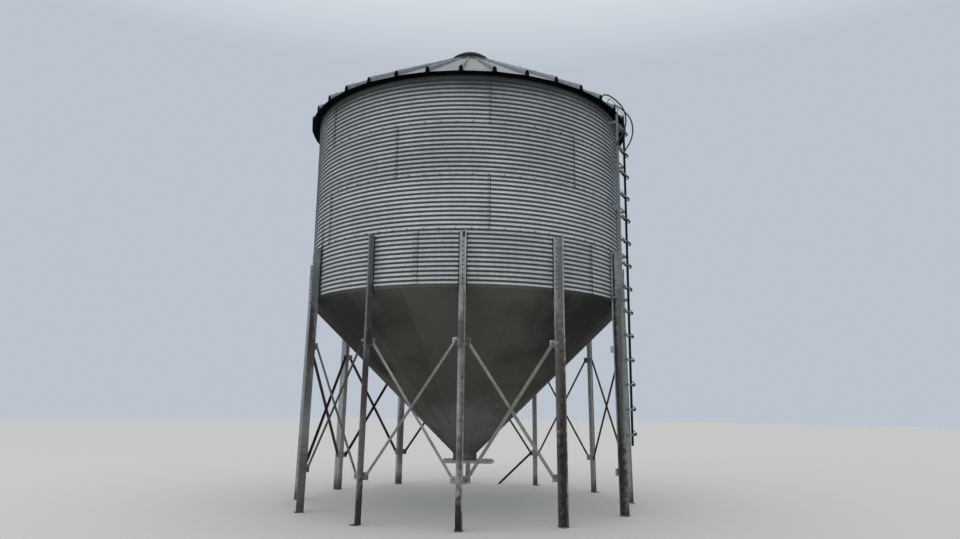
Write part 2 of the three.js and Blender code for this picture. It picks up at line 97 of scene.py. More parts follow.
def facing(azimuth: float, tilt: float = 0.0) -> Matrix:
    """Turns a shape so that its own Z axis points out from the bin's axis.

    Args:
        azimuth: Direction round the bin in degrees.
        tilt: Degrees that the outward direction is raised above level.

    Returns:
        The turn: own X runs level along the wall and own Y points up it.
    """
    return Matrix.Rotation(math.radians(azimuth), 4, "Z") @ Matrix.Rotation(
        math.radians(90 - tilt), 4, "X"
    )


def at(point: Vector, turn: Matrix) -> Matrix:
    """Joins a place and a turn into one matrix."""
    return Matrix.Translation(point) @ turn


def of_kind(kind: type, items: Iterable[Any]) -> list[Any]:
    """Keeps the items of one kind, such as the vertices that an operator made."""
    return [item for item in items if isinstance(item, kind)]


def turn_round(bm: bmesh.types.BMesh, azimuth: float, verts: Sequence[Any] = ()) -> None:
    """Turns vertices round the bin's axis.

    Args:
        bm: Mesh that holds them.
        azimuth: Degrees to turn them by.
        verts: The vertices; none given means all.
    """
    turn = Matrix.Rotation(math.radians(azimuth), 3, "Z")
    bmesh.ops.rotate(bm, cent=(0, 0, 0), matrix=turn, verts=verts or bm.verts[:])


def set_copies(
    bm: bmesh.types.BMesh, part: bmesh.types.BMesh, places: Iterable[Matrix] = (Matrix(),)
) -> None:
    """Adds a copy of a part to a mesh at each place, and frees the part.

    Args:
        bm: Mesh that the copies are added to.
        part: The part.
        places: Where the copies go; by default one stays where the part was drawn.
    """
    mesh = bpy.data.meshes.new("part_template")
    part.to_mesh(mesh)
    part.free()
    for place in places:
        mesh.transform(place)
        bm.from_mesh(mesh)
        mesh.transform(place.inverted())
    bpy.data.meshes.remove(mesh)


def draw_section(bm: bmesh.types.BMesh, points: Iterable[Vector]) -> list[Any]:
    """Draws an open line of points.

    Args:
        bm: Mesh to draw in.
        points: The line's points in order.

    Returns:
        Its vertices and edges.
    """
    verts = [bm.verts.new(point) for point in points]
    edges = [bm.edges.new(pair) for pair in zip(verts, verts[1:])]
    return [*verts, *edges]


def sweep_round(
    bm: bmesh.types.BMesh, profile: Profile, start: float, sweep: float, steps: int
) -> None:
    """Spins a profile of (radius, height) points round the bin's axis.

    Args:
        bm: Mesh to draw in.
        profile: Points of the profile.
        start: Azimuth where the profile is drawn.
        sweep: Degrees that it turns through; 360 closes on itself.
        steps: Facets round the sweep.
    """
    geom = draw_section(bm, (polar(start, radius, height) for radius, height in profile))
    bmesh.ops.spin(
        bm,
        geom=geom,
        cent=(0, 0, 0),
        axis=(0, 0, 1),
        angle=math.radians(sweep),
        steps=steps,
        use_merge=sweep == 360,
    )
    bmesh.ops.remove_doubles(bm, verts=bm.verts[:], dist=WELD_DISTANCE)


def thicken(bm: bmesh.types.BMesh, gauge: float, outward: Vector | None = None) -> None:
    """Gives an open sheet its thickness, on the side away from its outer face.

    Args:
        bm: Mesh that holds the sheet alone.
        gauge: Thickness in metres.
        outward: Direction that the outer face looks; None means away from the bin's axis.
    """
    bm.normal_update()
    look = 0.0
    for face in bm.faces:
        middle = face.calc_center_median()
        away = outward or Vector((middle.x, middle.y, 0))
        look += face.normal.dot(away) * face.calc_area()
    if look < 0:
        bmesh.ops.reverse_faces(bm, faces=bm.faces[:])
    bmesh.ops.solidify(bm, geom=bm.faces[:], thickness=gauge)
    bmesh.ops.recalc_face_normals(bm, faces=bm.faces[:])


def lift_lap(
    bm: bmesh.types.BMesh, start: float, sweep: float, lift: float, along: Vector | None = None
) -> None:
    """Lifts a sheet evenly from its first edge to its last, which then lies over the next sheet.

    Args:
        bm: Mesh that holds one spun sheet.
        start: Azimuth of its first edge.
        sweep: Degrees that it covers.
        lift: How far the last edge moves.
        along: Direction of the move; None means away from the bin's axis.
    """
    # One degree of margin keeps the first edge from counting as a full turn.
    for vert in bm.verts:
        azimuth = math.degrees(math.atan2(vert.co.x, -vert.co.y))
        share = ((azimuth - start + 1) % 360 - 1) / sweep
        away = along or Vector((vert.co.x, vert.co.y, 0)).normalized()
        vert.co += away * lift * share


def repeat_round(bm: bmesh.types.BMesh, count: int, seed: int) -> None:
    """Repeats what the mesh holds round the axis, each copy with a tone of its own.

    Args:
        bm: Mesh that holds one sheet.
        count: Number of sheets round the bin.
        seed: Seed of the tones.
    """
    tones = random.Random(seed)
    layer = bm.verts.layers.float.new(TONE_LAYER)
    source = [*bm.verts, *bm.edges, *bm.faces]
    verts = bm.verts[:]
    for index in range(count):
        if index:
            copy = bmesh.ops.duplicate(bm, geom=source)["geom"]
            verts = of_kind(bmesh.types.BMVert, copy)
            turn_round(bm, 360 / count * index, verts)
        tone = tones.uniform(-1, 1)
        for vert in verts:
            vert[layer] = tone


# ---------------------------------------------------------------- finishes


def hex_to_linear(colour: str) -> tuple[float, float, float, float]:
    """Turns an sRGB colour such as "8c9196" into Blender's linear colour.

    Args:
        colour: Six hex digits of an sRGB colour.

    Returns:
        Red, green, blue and an alpha of 1.
    """
    channels = []
    for start in (0, 2, 4):
        value = int(colour[start : start + 2], 16) / 255
        channels.append(value / 12.92 if value <= 0.04045 else ((value + 0.055) / 1.055) ** 2.4)
    return (channels[0], channels[1], channels[2], 1.0)


def add_node(
    tree: bpy.types.NodeTree,
    kind: str,
    settings: dict[str, Any] | None = None,
    inputs: dict[str | int, Any] | None = None,
) -> bpy.types.Node:
    """Adds a node with its settings and links.

    Args:
        tree: Node tree of the material or world.
        kind: Blender's name for the kind of node.
        settings: Values of the node's own properties; "stops" fills a colour ramp.
        inputs: What each input gets: another node's output, or a value.

    Returns:
        The new node.
    """
    node = tree.nodes.new(kind)
    for name, value in (settings or {}).items():
        if name == "stops":
            ramp = node.color_ramp
            while len(ramp.elements) < len(value):
                ramp.elements.new(1.0)
            for element, (place, colour) in zip(ramp.elements, value):
                element.position, element.color = place, colour
        else:
            setattr(node, name, value)
    for socket, source in (inputs or {}).items():
        if isinstance(source, bpy.types.NodeSocket):
            tree.links.new(source, node.inputs[socket])
        else:
            node.inputs[socket].default_value = source
    return node


# What all zinc finishes share. A band goes from the value that gives 0 to the one that gives 1.
# A grain is the detail and roughness of a cloudy pattern, and a cloud its scale and detail.
WORN_ROUGHNESS = 0.35
TONE_RELIEF = 0.4
RELIEF_DEPTH = 2 * MM
RELIEF_CLOUD = (60.0, 6.0)
TONE_GRAIN = (5.0, 0.6)
TONE_BAND = (0.15, 0.85)
STREAK_GRAIN = (4.0, 0.65)
STREAK_BAND = (0.42, 0.75)
DIRT_CLOUD = (1.7, 3.0)
DIRT_BAND = (0.3, 0.7)
RUST_GRAIN = (8.0, 0.7)
RUST_START = 0.74
RUST_SPREAD = 0.3
RUST_EDGE = 0.1
STAIN_OR_SHADE_BAND = (1.75, 1.05)
STAIN_OR_SHADE_RAGGED = 1.2
STAIN_OR_SHADE_FINENESS = 2.5
STAIN_OR_SHADE_SCALES = (0.8, 16.0)
STAIN_OR_SHADE_DETAIL = 5.0
UNDERSIDE_SHADE_BAND = (0.1, -0.3)
GRIME_BAND = (1.25, 0.4)
GRIME_RAGGED = 0.5
GRIME_CLOUD = (9.0, 5.0)


@dataclass(frozen=True)
class StainOrShade:
    """A ragged patch of one colour at one place of a piece. Some are dirt and rust marks, others
    painted shade or painted light.
    """

    place: tuple[float, float, float]
    reach: float
    height: float
    colour: str
    strength: float = 1.0


@dataclass(frozen=True)
class ZincFinish:
    """Hot-dip galvanised steel after years outdoors.

    The zinc's bright crystals have gone dull and grey, dirt runs down in streaks, and rust starts
    in patches. Ragged patches add dirt and rust marks, painted shade and painted light, and some
    finishes paint shade on the faces that look down. Sizes are in metres; streak_length is how
    many times its width a streak is long.
    An amount or share goes from 0 to 1.
    """

    name: str
    bright: str
    dull: str
    dirt: str = "3c3a36"
    rust: str = "6b3f28"
    spangle: float = 45 * MM
    spangle_share: float = 0.25
    sheet_share: float = 0.12
    blotch: float = 0.7
    streak: float = 0.05
    streak_length: float = 16
    dirt_amount: float = 0.35
    rust_amount: float = 0.12
    rust_size: float = 0.12
    underside_shade_amount: float = 0.0
    grime_top: float = 0.0
    grime: str = "2a2724"
    grime_amount: float = 0.75
    metallic: float = 0.55
    roughness: float = 0.5
    bump: float = 0.15
    specular: float = 0.5
    underside_shade_colour: str = "3c3a36"
    stains_and_shade: tuple[StainOrShade, ...] = ()

    def make(self) -> bpy.types.Material:
        """Builds the finish as a node material.

        Returns:
            The material.
        """
        material = bpy.data.materials.new(self.name)
        material.use_nodes = True
        material.node_tree.nodes.clear()
        ZincShader(material.node_tree, self).draw()
        return material


class ZincShader:
    """Draws one zinc finish in one node tree.

    A pattern is a node's output that says how much there is of something, from 0 to 1.
    """

    def __init__(self, tree: bpy.types.NodeTree, finish: ZincFinish) -> None:
        """Keeps the tree and the finish, and adds the object's coordinates.

        Args:
            tree: Empty node tree of the material.
            finish: The finish to draw.
        """
        self.tree = tree
        self.finish = finish
        self.place = add_node(tree, "ShaderNodeTexCoord").outputs["Object"]

    def draw(self) -> None:
        """Draws the zinc, what covers it, and its shine and relief."""
        finish = self.finish
        tone = self.tone()
        colour = self.cover(hex_to_linear(finish.dull), tone, finish.bright)
        covers = [(self.streaks(), finish.dirt), (self.rust(), finish.rust)]
        covers += [(self.stain_or_shade(stain_or_shade), stain_or_shade.colour) for stain_or_shade in finish.stains_and_shade]
        # Painted shade on the faces that look down.
        if finish.underside_shade_amount:
            covers.append((self.painted_underside_shade(), finish.underside_shade_colour))
        if finish.grime_top:
            covers.append((self.grime(), finish.grime))
        worn: Any = 0.0
        for share, hue in covers:
            colour = self.cover(colour, share, hue)
            worn = self.maths("MAXIMUM", worn, share)
        relief = self.maths("MULTIPLY_ADD", tone, TONE_RELIEF, self.noise(*RELIEF_CLOUD))
        inputs = {"Strength": finish.bump, "Distance": RELIEF_DEPTH, "Height": relief}
        normal = add_node(self.tree, "ShaderNodeBump", None, inputs).outputs[0]
        inputs = {
            "Base Color": colour,
            "Metallic": self.maths("MULTIPLY_ADD", worn, -finish.metallic, finish.metallic),
            "Roughness": self.maths("MULTIPLY_ADD", worn, WORN_ROUGHNESS, finish.roughness),
            "Specular IOR Level": finish.specular,
            "Normal": normal,
        }
        shader = add_node(self.tree, "ShaderNodeBsdfPrincipled", None, inputs)
        add_node(self.tree, "ShaderNodeOutputMaterial", None, {"Surface": shader.outputs[0]})

    def maths(self, operation: str, *values: Any) -> Any:
        """Joins numbers by one arithmetic operation."""
        inputs = dict(enumerate(values))
        return add_node(self.tree, "ShaderNodeMath", {"operation": operation}, inputs).outputs[0]

    def vector(self, operation: str, *values: Any) -> bpy.types.Node:
        """Joins vectors by one operation and gives its node."""
        inputs = dict(enumerate(values))
        return add_node(self.tree, "ShaderNodeVectorMath", {"operation": operation}, inputs)

    def upward(self, vector: Any) -> Any:
        """Gives the part of a vector that points up."""
        return add_node(self.tree, "ShaderNodeSeparateXYZ", None, {0: vector}).outputs[2]

    def cover(self, under: Any, share: Any, colour: str) -> Any:
        """Lays a colour over another by a share."""
        # The node has several inputs A and B; 6 and 7 are its colours, as output 2 is.
        inputs = {0: share, 6: under, 7: hex_to_linear(colour)}
        return add_node(self.tree, "ShaderNodeMix", {"data_type": "RGBA"}, inputs).outputs[2]

    def band(self, value: Any, low: float, high: float) -> Any:
        """Stretches a value so that low gives 0 and high gives 1, cut off at both.

        Args:
            value: What is stretched.
            low: The value that gives 0.
            high: The value that gives 1.

        Returns:
            The stretched value.
        """
        inputs = {"Value": value, "From Min": low, "From Max": high}
        settings = {"interpolation_type": "SMOOTHSTEP"}
        return add_node(self.tree, "ShaderNodeMapRange", settings, inputs).outputs[0]

    def noise(
        self, scale: float, detail: float, roughness: float = 0.5, place: Any = None
    ) -> Any:
        """Gives a cloudy pattern.

        Args:
            scale: Clouds in a metre.
            detail: How many layers of finer clouds lie over the first.
            roughness: How strong each finer layer is.
            place: Coordinates that it is drawn in; None means the object's own.

        Returns:
            The pattern.
        """
        inputs = {"Vector": self.place if place is None else place}
        inputs |= {"Scale": scale, "Detail": detail, "Roughness": roughness}
        return add_node(self.tree, "ShaderNodeTexNoise", None, inputs).outputs[0]

    def tone(self) -> Any:
        """Gives how bright the zinc is: its crystals, its clouds and each sheet's own tone.

        Returns:
            The pattern, 1 where the zinc is brightest.
        """
        finish = self.finish
        inputs = {"Vector": self.place, "Scale": 1 / finish.spangle}
        crystals = add_node(self.tree, "ShaderNodeTexVoronoi", None, inputs).outputs["Color"]
        crystal = add_node(self.tree, "ShaderNodeSeparateColor", None, {0: crystals}).outputs[0]
        cloud = self.noise(1 / finish.blotch, *TONE_GRAIN)
        sheet = add_node(self.tree, "ShaderNodeAttribute", {"attribute_name": TONE_LAYER})
        tone = self.maths("MULTIPLY", crystal, finish.spangle_share)
        tone = self.maths("MULTIPLY_ADD", cloud, 1 - finish.spangle_share, tone)
        tone = self.maths("MULTIPLY_ADD", sheet.outputs["Fac"], finish.sheet_share, tone)
        return self.band(tone, *TONE_BAND)

    def streaks(self) -> Any:
        """Gives where dirt runs down: narrow streaks that break up in clouds.

        Returns:
            The dirt's pattern.
        """
        finish = self.finish
        inputs = {"Vector": self.place, "Scale": (1, 1, 1 / finish.streak_length)}
        drawn = add_node(self.tree, "ShaderNodeMapping", None, inputs).outputs[0]
        runs = self.band(self.noise(1 / finish.streak, *STREAK_GRAIN, drawn), *STREAK_BAND)
        clouds = self.band(self.noise(*DIRT_CLOUD), *DIRT_BAND)
        share = self.maths("MULTIPLY", runs, clouds)
        return self.maths("MULTIPLY", share, finish.dirt_amount)

    def rust(self) -> Any:
        """Gives where the zinc has gone in small patches.

        Returns:
            The rust's pattern.
        """
        grain = self.noise(1 / self.finish.rust_size, *RUST_GRAIN)
        start = RUST_START - RUST_SPREAD * self.finish.rust_amount
        return self.band(grain, start, start + RUST_EDGE)

    def stain_or_shade(self, stain_or_shade: StainOrShade) -> Any:
        """Gives where one patch lies, ragged at its edge, up to its own strength.

        Args:
            stain_or_shade: The patch.

        Returns:
            The patch's pattern.
        """
        away = self.vector("SUBTRACT", self.place, stain_or_shade.place).outputs[0]
        shares = (1 / stain_or_shade.reach, 1 / stain_or_shade.reach, 1 / stain_or_shade.height)
        squeezed = self.vector("MULTIPLY", away, shares).outputs[0]
        far = self.vector("LENGTH", squeezed).outputs["Value"]
        coarsest, finest = STAIN_OR_SHADE_SCALES
        scale = min(max(STAIN_OR_SHADE_FINENESS / stain_or_shade.reach, coarsest), finest)
        grain = self.noise(scale, STAIN_OR_SHADE_DETAIL)
        ragged = self.maths("MULTIPLY_ADD", grain, STAIN_OR_SHADE_RAGGED, far)
        return self.maths("MULTIPLY", self.band(ragged, *STAIN_OR_SHADE_BAND), stain_or_shade.strength)

    def painted_underside_shade(self) -> Any:
        """Gives painted shade on the faces that look down.

        Returns:
            The painted shade's pattern.
        """
        normal = add_node(self.tree, "ShaderNodeNewGeometry").outputs["Normal"]
        share = self.band(self.upward(normal), *UNDERSIDE_SHADE_BAND)
        return self.maths("MULTIPLY", share, self.finish.underside_shade_amount)

    def grime(self) -> Any:
        """Gives the dirt splashed up from the ground, thick at the foot and ragged above.

        Returns:
            The splashed dirt's pattern.
        """
        top = self.finish.grime_top
        ragged = self.noise(*GRIME_CLOUD)
        level = self.maths("MULTIPLY_ADD", ragged, GRIME_RAGGED * top, self.upward(self.place))
        share = self.band(level, *(limit * top for limit in GRIME_BAND))
        return self.maths("MULTIPLY", share, self.finish.grime_amount)


# Corrugated bin sheet. Painted shade on the slopes that look down gives the wall its hard light and
# dark bands.
WALL_ZINC = ZincFinish(
    name="weathered galvanised wall sheet",
    bright="c3c7c8",
    dull="a1a5a6",
    spangle_share=0.2,
    dirt_amount=0.22,
    underside_shade_amount=0.92,
    underside_shade_colour="292c2e",
    metallic=0.35,
    roughness=0.55,
    stains_and_shade=(
        # Painted shadow under the eave, a pale band along the lowest crest, and painted shadow
        # beside leg 11.
        StainOrShade((0, 0, 6.66), 30, 0.36, "232425", 0.75),
        StainOrShade((0, 0, 3.338), 30, 0.03, "c6c2b9", 0.6),
        StainOrShade((-2.337, -1.442, 3.7), 0.075, 0.95, "1b1e21", 0.9),
    ),
)
# Roof sheet: weathered to an even grey, with painted shade darkening it round the lid.
ROOF_ZINC = ZincFinish(
    name="weathered galvanised roof sheet",
    bright="8a9093",
    dull="6d7376",
    dirt_amount=0.2,
    metallic=0.25,
    roughness=0.72,
    stains_and_shade=(
        StainOrShade((0, 0, 8.1), 1.15, 0.8, "3a3d41", 0.8),
        StainOrShade((0, 0, 8.1), 0.95, 0.55, "191b1d", 0.85),
    ),
)
# Hopper sheet: dark zinc, painted nearly black as the shade under the bin.
HOPPER_ZINC = ZincFinish(
    name="galvanised hopper sheet in painted shade",
    bright="5c5954",
    dull="4e4b46",
    dirt="35332f",
    spangle_share=0.06,
    sheet_share=0.22,
    dirt_amount=0.12,
    streak_length=5,
    bump=0.04,
    metallic=0.2,
    roughness=0.72,
    specular=0.35,
    stains_and_shade=(
        # Painted shade on the left and right flanks and the right shoulder, and painted light low
        # on the front.
        StainOrShade((-2.35, -1.05, 2.75), 1.8, 1.55, "232420", 0.82),
        StainOrShade((2.25, -1.1, 2.75), 1.8, 1.55, "272825", 0.74),
        StainOrShade((1.99, -1.67, 3.1), 0.95, 0.6, "1c1f1b", 0.75),
        StainOrShade((0.05, -0.75, 1.1), 0.75, 0.75, "8a8884", 0.45),
    ),
)
# Leg section: thick steel dipped whole, with dirt splashed up its foot. Most far legs have this
# finish as it is; LEG_FINISHES has the others.
LEG_ZINC = ZincFinish(
    name="dipped leg section",
    bright="b3b2b0",
    dull="8b8a89",
    spangle=30 * MM,
    dirt="35302c",
    dirt_amount=0.5,
    streak=0.024,
    streak_length=40,
    rust_amount=0.2,
    grime_top=0.3,
    grime="2b2622",
    metallic=0.3,
    roughness=0.62,
)
# Brace bar: rolled angle, painted nearly black as the shade under the bin. BRACE_TONES has the
# lighter ones, painted as lit.
BRACE_ZINC = ZincFinish(
    name="dusty galvanised brace angle",
    bright="35322e",
    dull="232120",
    dirt_amount=0.5,
    rust_amount=0.25,
    metallic=0.25,
    roughness=0.65,
)
# Outlet steel: welded plate, zinc paint rubbed to a purple grey by grain dust and hands.
OUTLET_STEEL = ZincFinish(
    name="rubbed outlet plate",
    bright="b7b1b1",
    dull="908b90",
    dirt_amount=0.5,
    rust_amount=0.25,
    metallic=0.35,
    roughness=0.55,
)
# Ladder steel: pressed channel, handled and walked on, dark grey with a green cast.
LADDER_ZINC = ZincFinish(
    name="worn ladder channel with painted shade",
    bright="93999a",
    dull="6b7174",
    spangle=20 * MM,
    dirt="20262a",
    dirt_amount=0.5,
    metallic=0.15,
    roughness=0.65,
    specular=0.15,
)
# Grab rail tube: bent pipe, its zinc gone dark blue grey.
RAIL_ZINC = ZincFinish(
    name="dark bent rail tube",
    bright="3f474e",
    dull="292f35",
    spangle=20 * MM,
    dirt="181c20",
    dirt_amount=0.4,
    metallic=0.1,
    roughness=0.6,
    specular=0.2,
)
# Peak lid: spun sheet, browned where dust settles on it, with painted shade on its underside and
# skirt.
LID_ZINC = ZincFinish(
    name="browned peak lid",
    bright="433d3a",
    dull="292625",
    dirt="1b1817",
    dirt_amount=0.5,
    rust_amount=0.2,
    metallic=0.1,
    roughness=0.7,
    specular=0.25,
    underside_shade_amount=0.8,
    underside_shade_colour="121212",
)
# Black: foam on the ribs' caps, and painted shade. The caps stand wide to paint the shadow round
# each rib's end; the soffit, the eave ring and the strips beside the legs are painted shade.
EAVE_BLACK = ZincFinish(
    name="black foam and painted shade",
    bright="17191a",
    dull="0b0c0c",
    dirt="050505",
    dirt_amount=0.3,
    rust_amount=0.0,
    metallic=0.0,
    roughness=0.95,
    specular=0.05,
)
# Seam sealer: the edge of the butyl strip that squeezes out of a lap, gone black and dusty.
SEALER = ZincFinish(
    name="dusty black seam sealer",
    bright="2f3133",
    dull="191b1c",
    dirt_amount=0.2,
    rust_amount=0.0,
    metallic=0.0,
    roughness=0.85,
    specular=0.2,
)
# Bolts: zinc-plated, darker than the sheet, with rust creeping from the threads.
BOLT_ZINC = ZincFinish(
    name="plated bolt head",
    bright="5c5b5a",
    dull="302f2f",
    spangle=60 * MM,
    rust="4a2d20",
    rust_amount=0.45,
    rust_size=0.25,
    metallic=0.4,
    roughness=0.55,
)
# Wall bolts: plated and dusty, so they hardly stand out on the sheet.
WALL_BOLT = replace(
    BOLT_ZINC,
    name="dusty wall bolt head",
    bright="77797a",
    dull="4b4d4e",
    rust_amount=0.25,
    metallic=0.3,
)
# Bolts of the legs and the wall's foot: black oxide, so they stand dark on the light zinc.
DARK_BOLT = ZincFinish(
    name="blackened bolt head",
    bright="33322f",
    dull="191817",
    spangle=60 * MM,
    rust="3d261c",
    rust_amount=0.35,
    rust_size=0.25,
    metallic=0.3,
    roughness=0.6,
)
# Right-hand tread ends: painted black as the ladder's own shade on them, with hardly any shine.
TREAD_BLACK = replace(DARK_BOLT, name="tread end in painted shade", metallic=0.0, specular=0.1)


# ---------------------------------------------------------------- the workshop


class Slot(Enum):
    """The record's material slots."""

    WALL = "wall"
    LEG = "leg"
    BRACE = "brace"
    HOPPER = "hopper"
    OUTLET = "outlet"
    ROOF = "roof"
    TRIM = "trim"
    LADDER = "ladder"


class Workshop:
    """Turns bmeshes into pieces that ride on the frame, and gives CAD nodes their finish."""

    def __init__(self, frame: dict[str, Any]) -> None:
        """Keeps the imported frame."""
        self.nodes: dict[str, bpy.types.Object] = frame["nodes"]
        self.materials: dict[str, bpy.types.Material] = {}

    def material(self, finish: ZincFinish) -> bpy.types.Material:
        """Gives the finish's material, built once.

        Args:
            finish: The finish.

        Returns:
            Its material.
        """
        if finish.name not in self.materials:
            self.materials[finish.name] = finish.make()
        return self.materials[finish.name]

    def dress(self, names: Iterable[str], finish: ZincFinish) -> None:
        """Gives CAD nodes a finish in their own material slots.

        Args:
            names: The nodes' names.
            finish: The finish for all their slots.
        """
        for name in names:
            data = self.nodes[name].data
            if not data.materials:
                data.materials.append(None)
            for index in range(len(data.materials)):
                data.materials[index] = self.material(finish)
            log.info("dressed %s in %s", name, finish.name)

    def add(
        self,
        bm: bmesh.types.BMesh,
        name: str,
        finish: ZincFinish,
        slot: Slot,
        body: str = SILO_BODY,
        replaces: Iterable[str] = (),
        sharp: float = PIECE_SHARP,
    ) -> None:
        """Makes a bmesh a piece of the silo.

        Args:
            bm: Finished mesh in place; it is freed.
            name: Name of the piece.
            finish: Its finish.
            slot: The record's slot that the finish belongs to; not used.
            body: CAD body that it moves with.
            replaces: CAD nodes that it stands for.
            sharp: Degrees between faces above which an edge shows.
        """
        mesh = bpy.data.meshes.new(name)
        bm.to_mesh(mesh)
        bm.free()
        mesh.shade_smooth()
        mesh.set_sharp_from_angle(angle=math.radians(sharp))
        mesh.materials.append(self.material(finish))
        piece = bpy.data.objects.new(name, mesh)
        bpy.context.scene.collection.objects.link(piece)
        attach(piece, body)
        if replaces:
            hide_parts(*replaces)
        mesh.calc_loop_triangles()
        log.info("built %s: %d triangles", name, len(mesh.loop_triangles))


@dataclass
class Bolt:
    """A hexagon bolt head, on a round washer where it has one."""

    across: float = 17 * MM
    head: float = 7 * MM
    washer: float = 24 * MM
    washer_thickness: float = 2.5 * MM
    head_sides: int = 6
    washer_sides: int = 10
    taper: float = 0.9

    def build(
        self,
        shop: Workshop,
        name: str,
        places: Iterable[Matrix],
        finish: ZincFinish,
        slot: Slot,
    ) -> None:
        """Builds one such bolt at each place, all as one piece.

        Args:
            shop: The workshop.
            name: Name of the piece.
            places: Where each bolt's washer lies on the sheet, with its Z axis along the bolt.
            finish: Finish of the bolts.
            slot: The record's slot that the finish belongs to.
        """
        bolt = bmesh.new()
        lift = 0.0
        if self.washer:
            lift = self.washer_thickness
            self._disc(bolt, self.washer_sides, self.washer / 2, 0.0, lift)
        self._disc(bolt, self.head_sides, self.across / 2, lift, self.head)
        bm = bmesh.new()
        set_copies(bm, bolt, places)
        shop.add(bm, name, finish, slot, sharp=SMALL_SHARP)

    def _disc(
        self, bm: bmesh.types.BMesh, sides: int, radius: float, base: float, height: float
    ) -> None:
        """Adds a flat prism with a slight taper from its base.

        Args:
            bm: Mesh that it is added to.
            sides: Number of sides.
            radius: Radius at its base.
            base: Height of its base.
            height: Its own height.
        """
        bmesh.ops.create_cone(
            bm,
            cap_ends=True,
            segments=sides,
            radius1=radius,
            radius2=self.taper * radius,
            depth=height,
            matrix=Matrix.Translation((0, 0, base + height / 2)),
        )


# ---------------------------------------------------------------- the bin


@dataclass
class CorrugatedRing:
    """One ring of the wall: six curved corrugated sheets that lap at bolted seams.

    The corrugation runs on from ring to ring, so every ring counts its crests from the wall's
    foot. Lifts and proud edges are given in gauges of the sheet.
    """

    node: str
    ring: int
    seam: float
    seam_rows: int = 1
    crest: float = 2.743
    depth: float = 13 * MM
    base: float = 3.314
    height: float = 812.8 * MM
    tuck: float = 22 * MM
    tuck_share: float = 0.4
    gauge: float = 1.5 * MM
    foot_lift: float = 1.3
    lap_lift: float = 1.4
    bolt_lift: float = 1.6
    sheets: int = 6
    lap: float = 50 * MM
    steps: int = 26
    points_per_pitch: int = 10
    crests: int = 12
    row_space: float = 41 * MM
    bolts: Bolt = field(default_factory=lambda: Bolt(across=15 * MM))
    ring_bolts: int = 72
    seal_width: float = 7 * MM
    seal_gauge: float = 2.8
    seal_proud: tuple[float, float] = (1.0, 2.6)
    sealer_seed: int = 9

    @property
    def low(self) -> float:
        """Gives the height where the ring starts in the model."""
        return self.base + self.height * self.ring

    def radius_at(self, height: float) -> float:
        """Gives the sheet's outer radius at a height, with the ring's foot over the ring below.

        Args:
            height: Height above the ground.

        Returns:
            The distance from the bin's axis.
        """
        turn = 2 * math.pi * (height - FIRST_CREST) / CREST_PITCH
        lapped = self.ring and height < self.low + self.tuck_share * self.tuck
        over = self.foot_lift * self.gauge if lapped else 0.0
        return self.crest - self.depth / 2 * (1 - math.cos(turn)) + over

    def profile(self) -> Profile:
        """Gives the corrugation's points from the lapped lower edge to the top.

        Returns:
            Points of radius and height.
        """
        start = self.low - (self.tuck if self.ring else 0.0)
        step = CREST_PITCH / self.points_per_pitch
        count = round((self.low + self.height - start) / step)
        span = (self.low + self.height - start) / count
        heights = [start + span * index for index in range(count + 1)]
        return [(self.radius_at(height), height) for height in heights]

    def build_sheets(self, shop: Workshop) -> None:
        """Builds the ring's sheets as one piece, each lifted onto the one that it laps.

        Args:
            shop: The workshop.
        """
        bm = bmesh.new()
        sweep = 360 / self.sheets + math.degrees(self.lap / self.crest)
        first = self.seam - math.degrees(self.lap / 2 / self.crest)
        sweep_round(bm, self.profile(), first, sweep, self.steps)
        lift_lap(bm, first, sweep, self.lap_lift * self.gauge)
        thicken(bm, self.gauge)
        repeat_round(bm, self.sheets, self.ring + 1)
        name = self.node.replace("wall_ring", "wall_sheets")
        shop.add(bm, name, WALL_ZINC, Slot.WALL, replaces=[self.node])

    def build_sealer(self, shop: Workshop) -> None:
        """Builds the dark sealer along the edges of the upright laps.

        Args:
            shop: The workshop.
        """
        bm = bmesh.new()
        edges = [self.lap / 2] if self.seam_rows == 1 else [-self.lap / 2, self.lap / 2]
        for edge in edges:
            strip = bmesh.new()
            proud = self.seal_proud[edge > 0] * self.gauge
            profile = [(radius + proud, height) for radius, height in self.profile()]
            start = self.seam + math.degrees(edge / self.crest)
            sweep_round(strip, profile, start, math.degrees(self.seal_width / self.crest), 1)
            thicken(strip, self.seal_gauge * self.gauge)
            set_copies(bm, strip)
        repeat_round(bm, self.sheets, self.sealer_seed)
        name = self.node.replace("wall_ring", "seam_sealer")
        shop.add(bm, name, SEALER, Slot.WALL)

    def build_bolts(self, shop: Workshop) -> None:
        """Builds the bolts of the upright seams, and those that hold it to the ring below.

        Args:
            shop: The workshop.
        """
        places = []
        first = self.crests * self.ring
        for sheet in range(self.sheets):
            seam = self.seam + 360 / self.sheets * sheet
            for row in range(self.seam_rows):
                across = self.row_space * (row - (self.seam_rows - 1) / 2)
                azimuth = seam + math.degrees(across / self.crest)
                places += [self._on_crest(azimuth, first + index) for index in range(self.crests)]
        if self.ring:
            for index in range(self.ring_bolts):
                places.append(self._on_crest(360 / self.ring_bolts * (index + 0.5), first))
        name = self.node.replace("wall_ring", "wall_bolts")
        self.bolts.build(shop, name, places, WALL_BOLT, Slot.WALL)

    def _on_crest(self, azimuth: float, number: int) -> Matrix:
        """Gives the place of a bolt on one of the wall's crests.

        Args:
            azimuth: Direction round the bin in degrees.
            number: The crest's number, counted from the wall's foot.

        Returns:
            Place and turn of the bolt's foot.
        """
        radius = self.crest + self.bolt_lift * self.gauge
        height = FIRST_CREST + CREST_PITCH * number
        return at(polar(azimuth, radius, height), facing(azimuth))


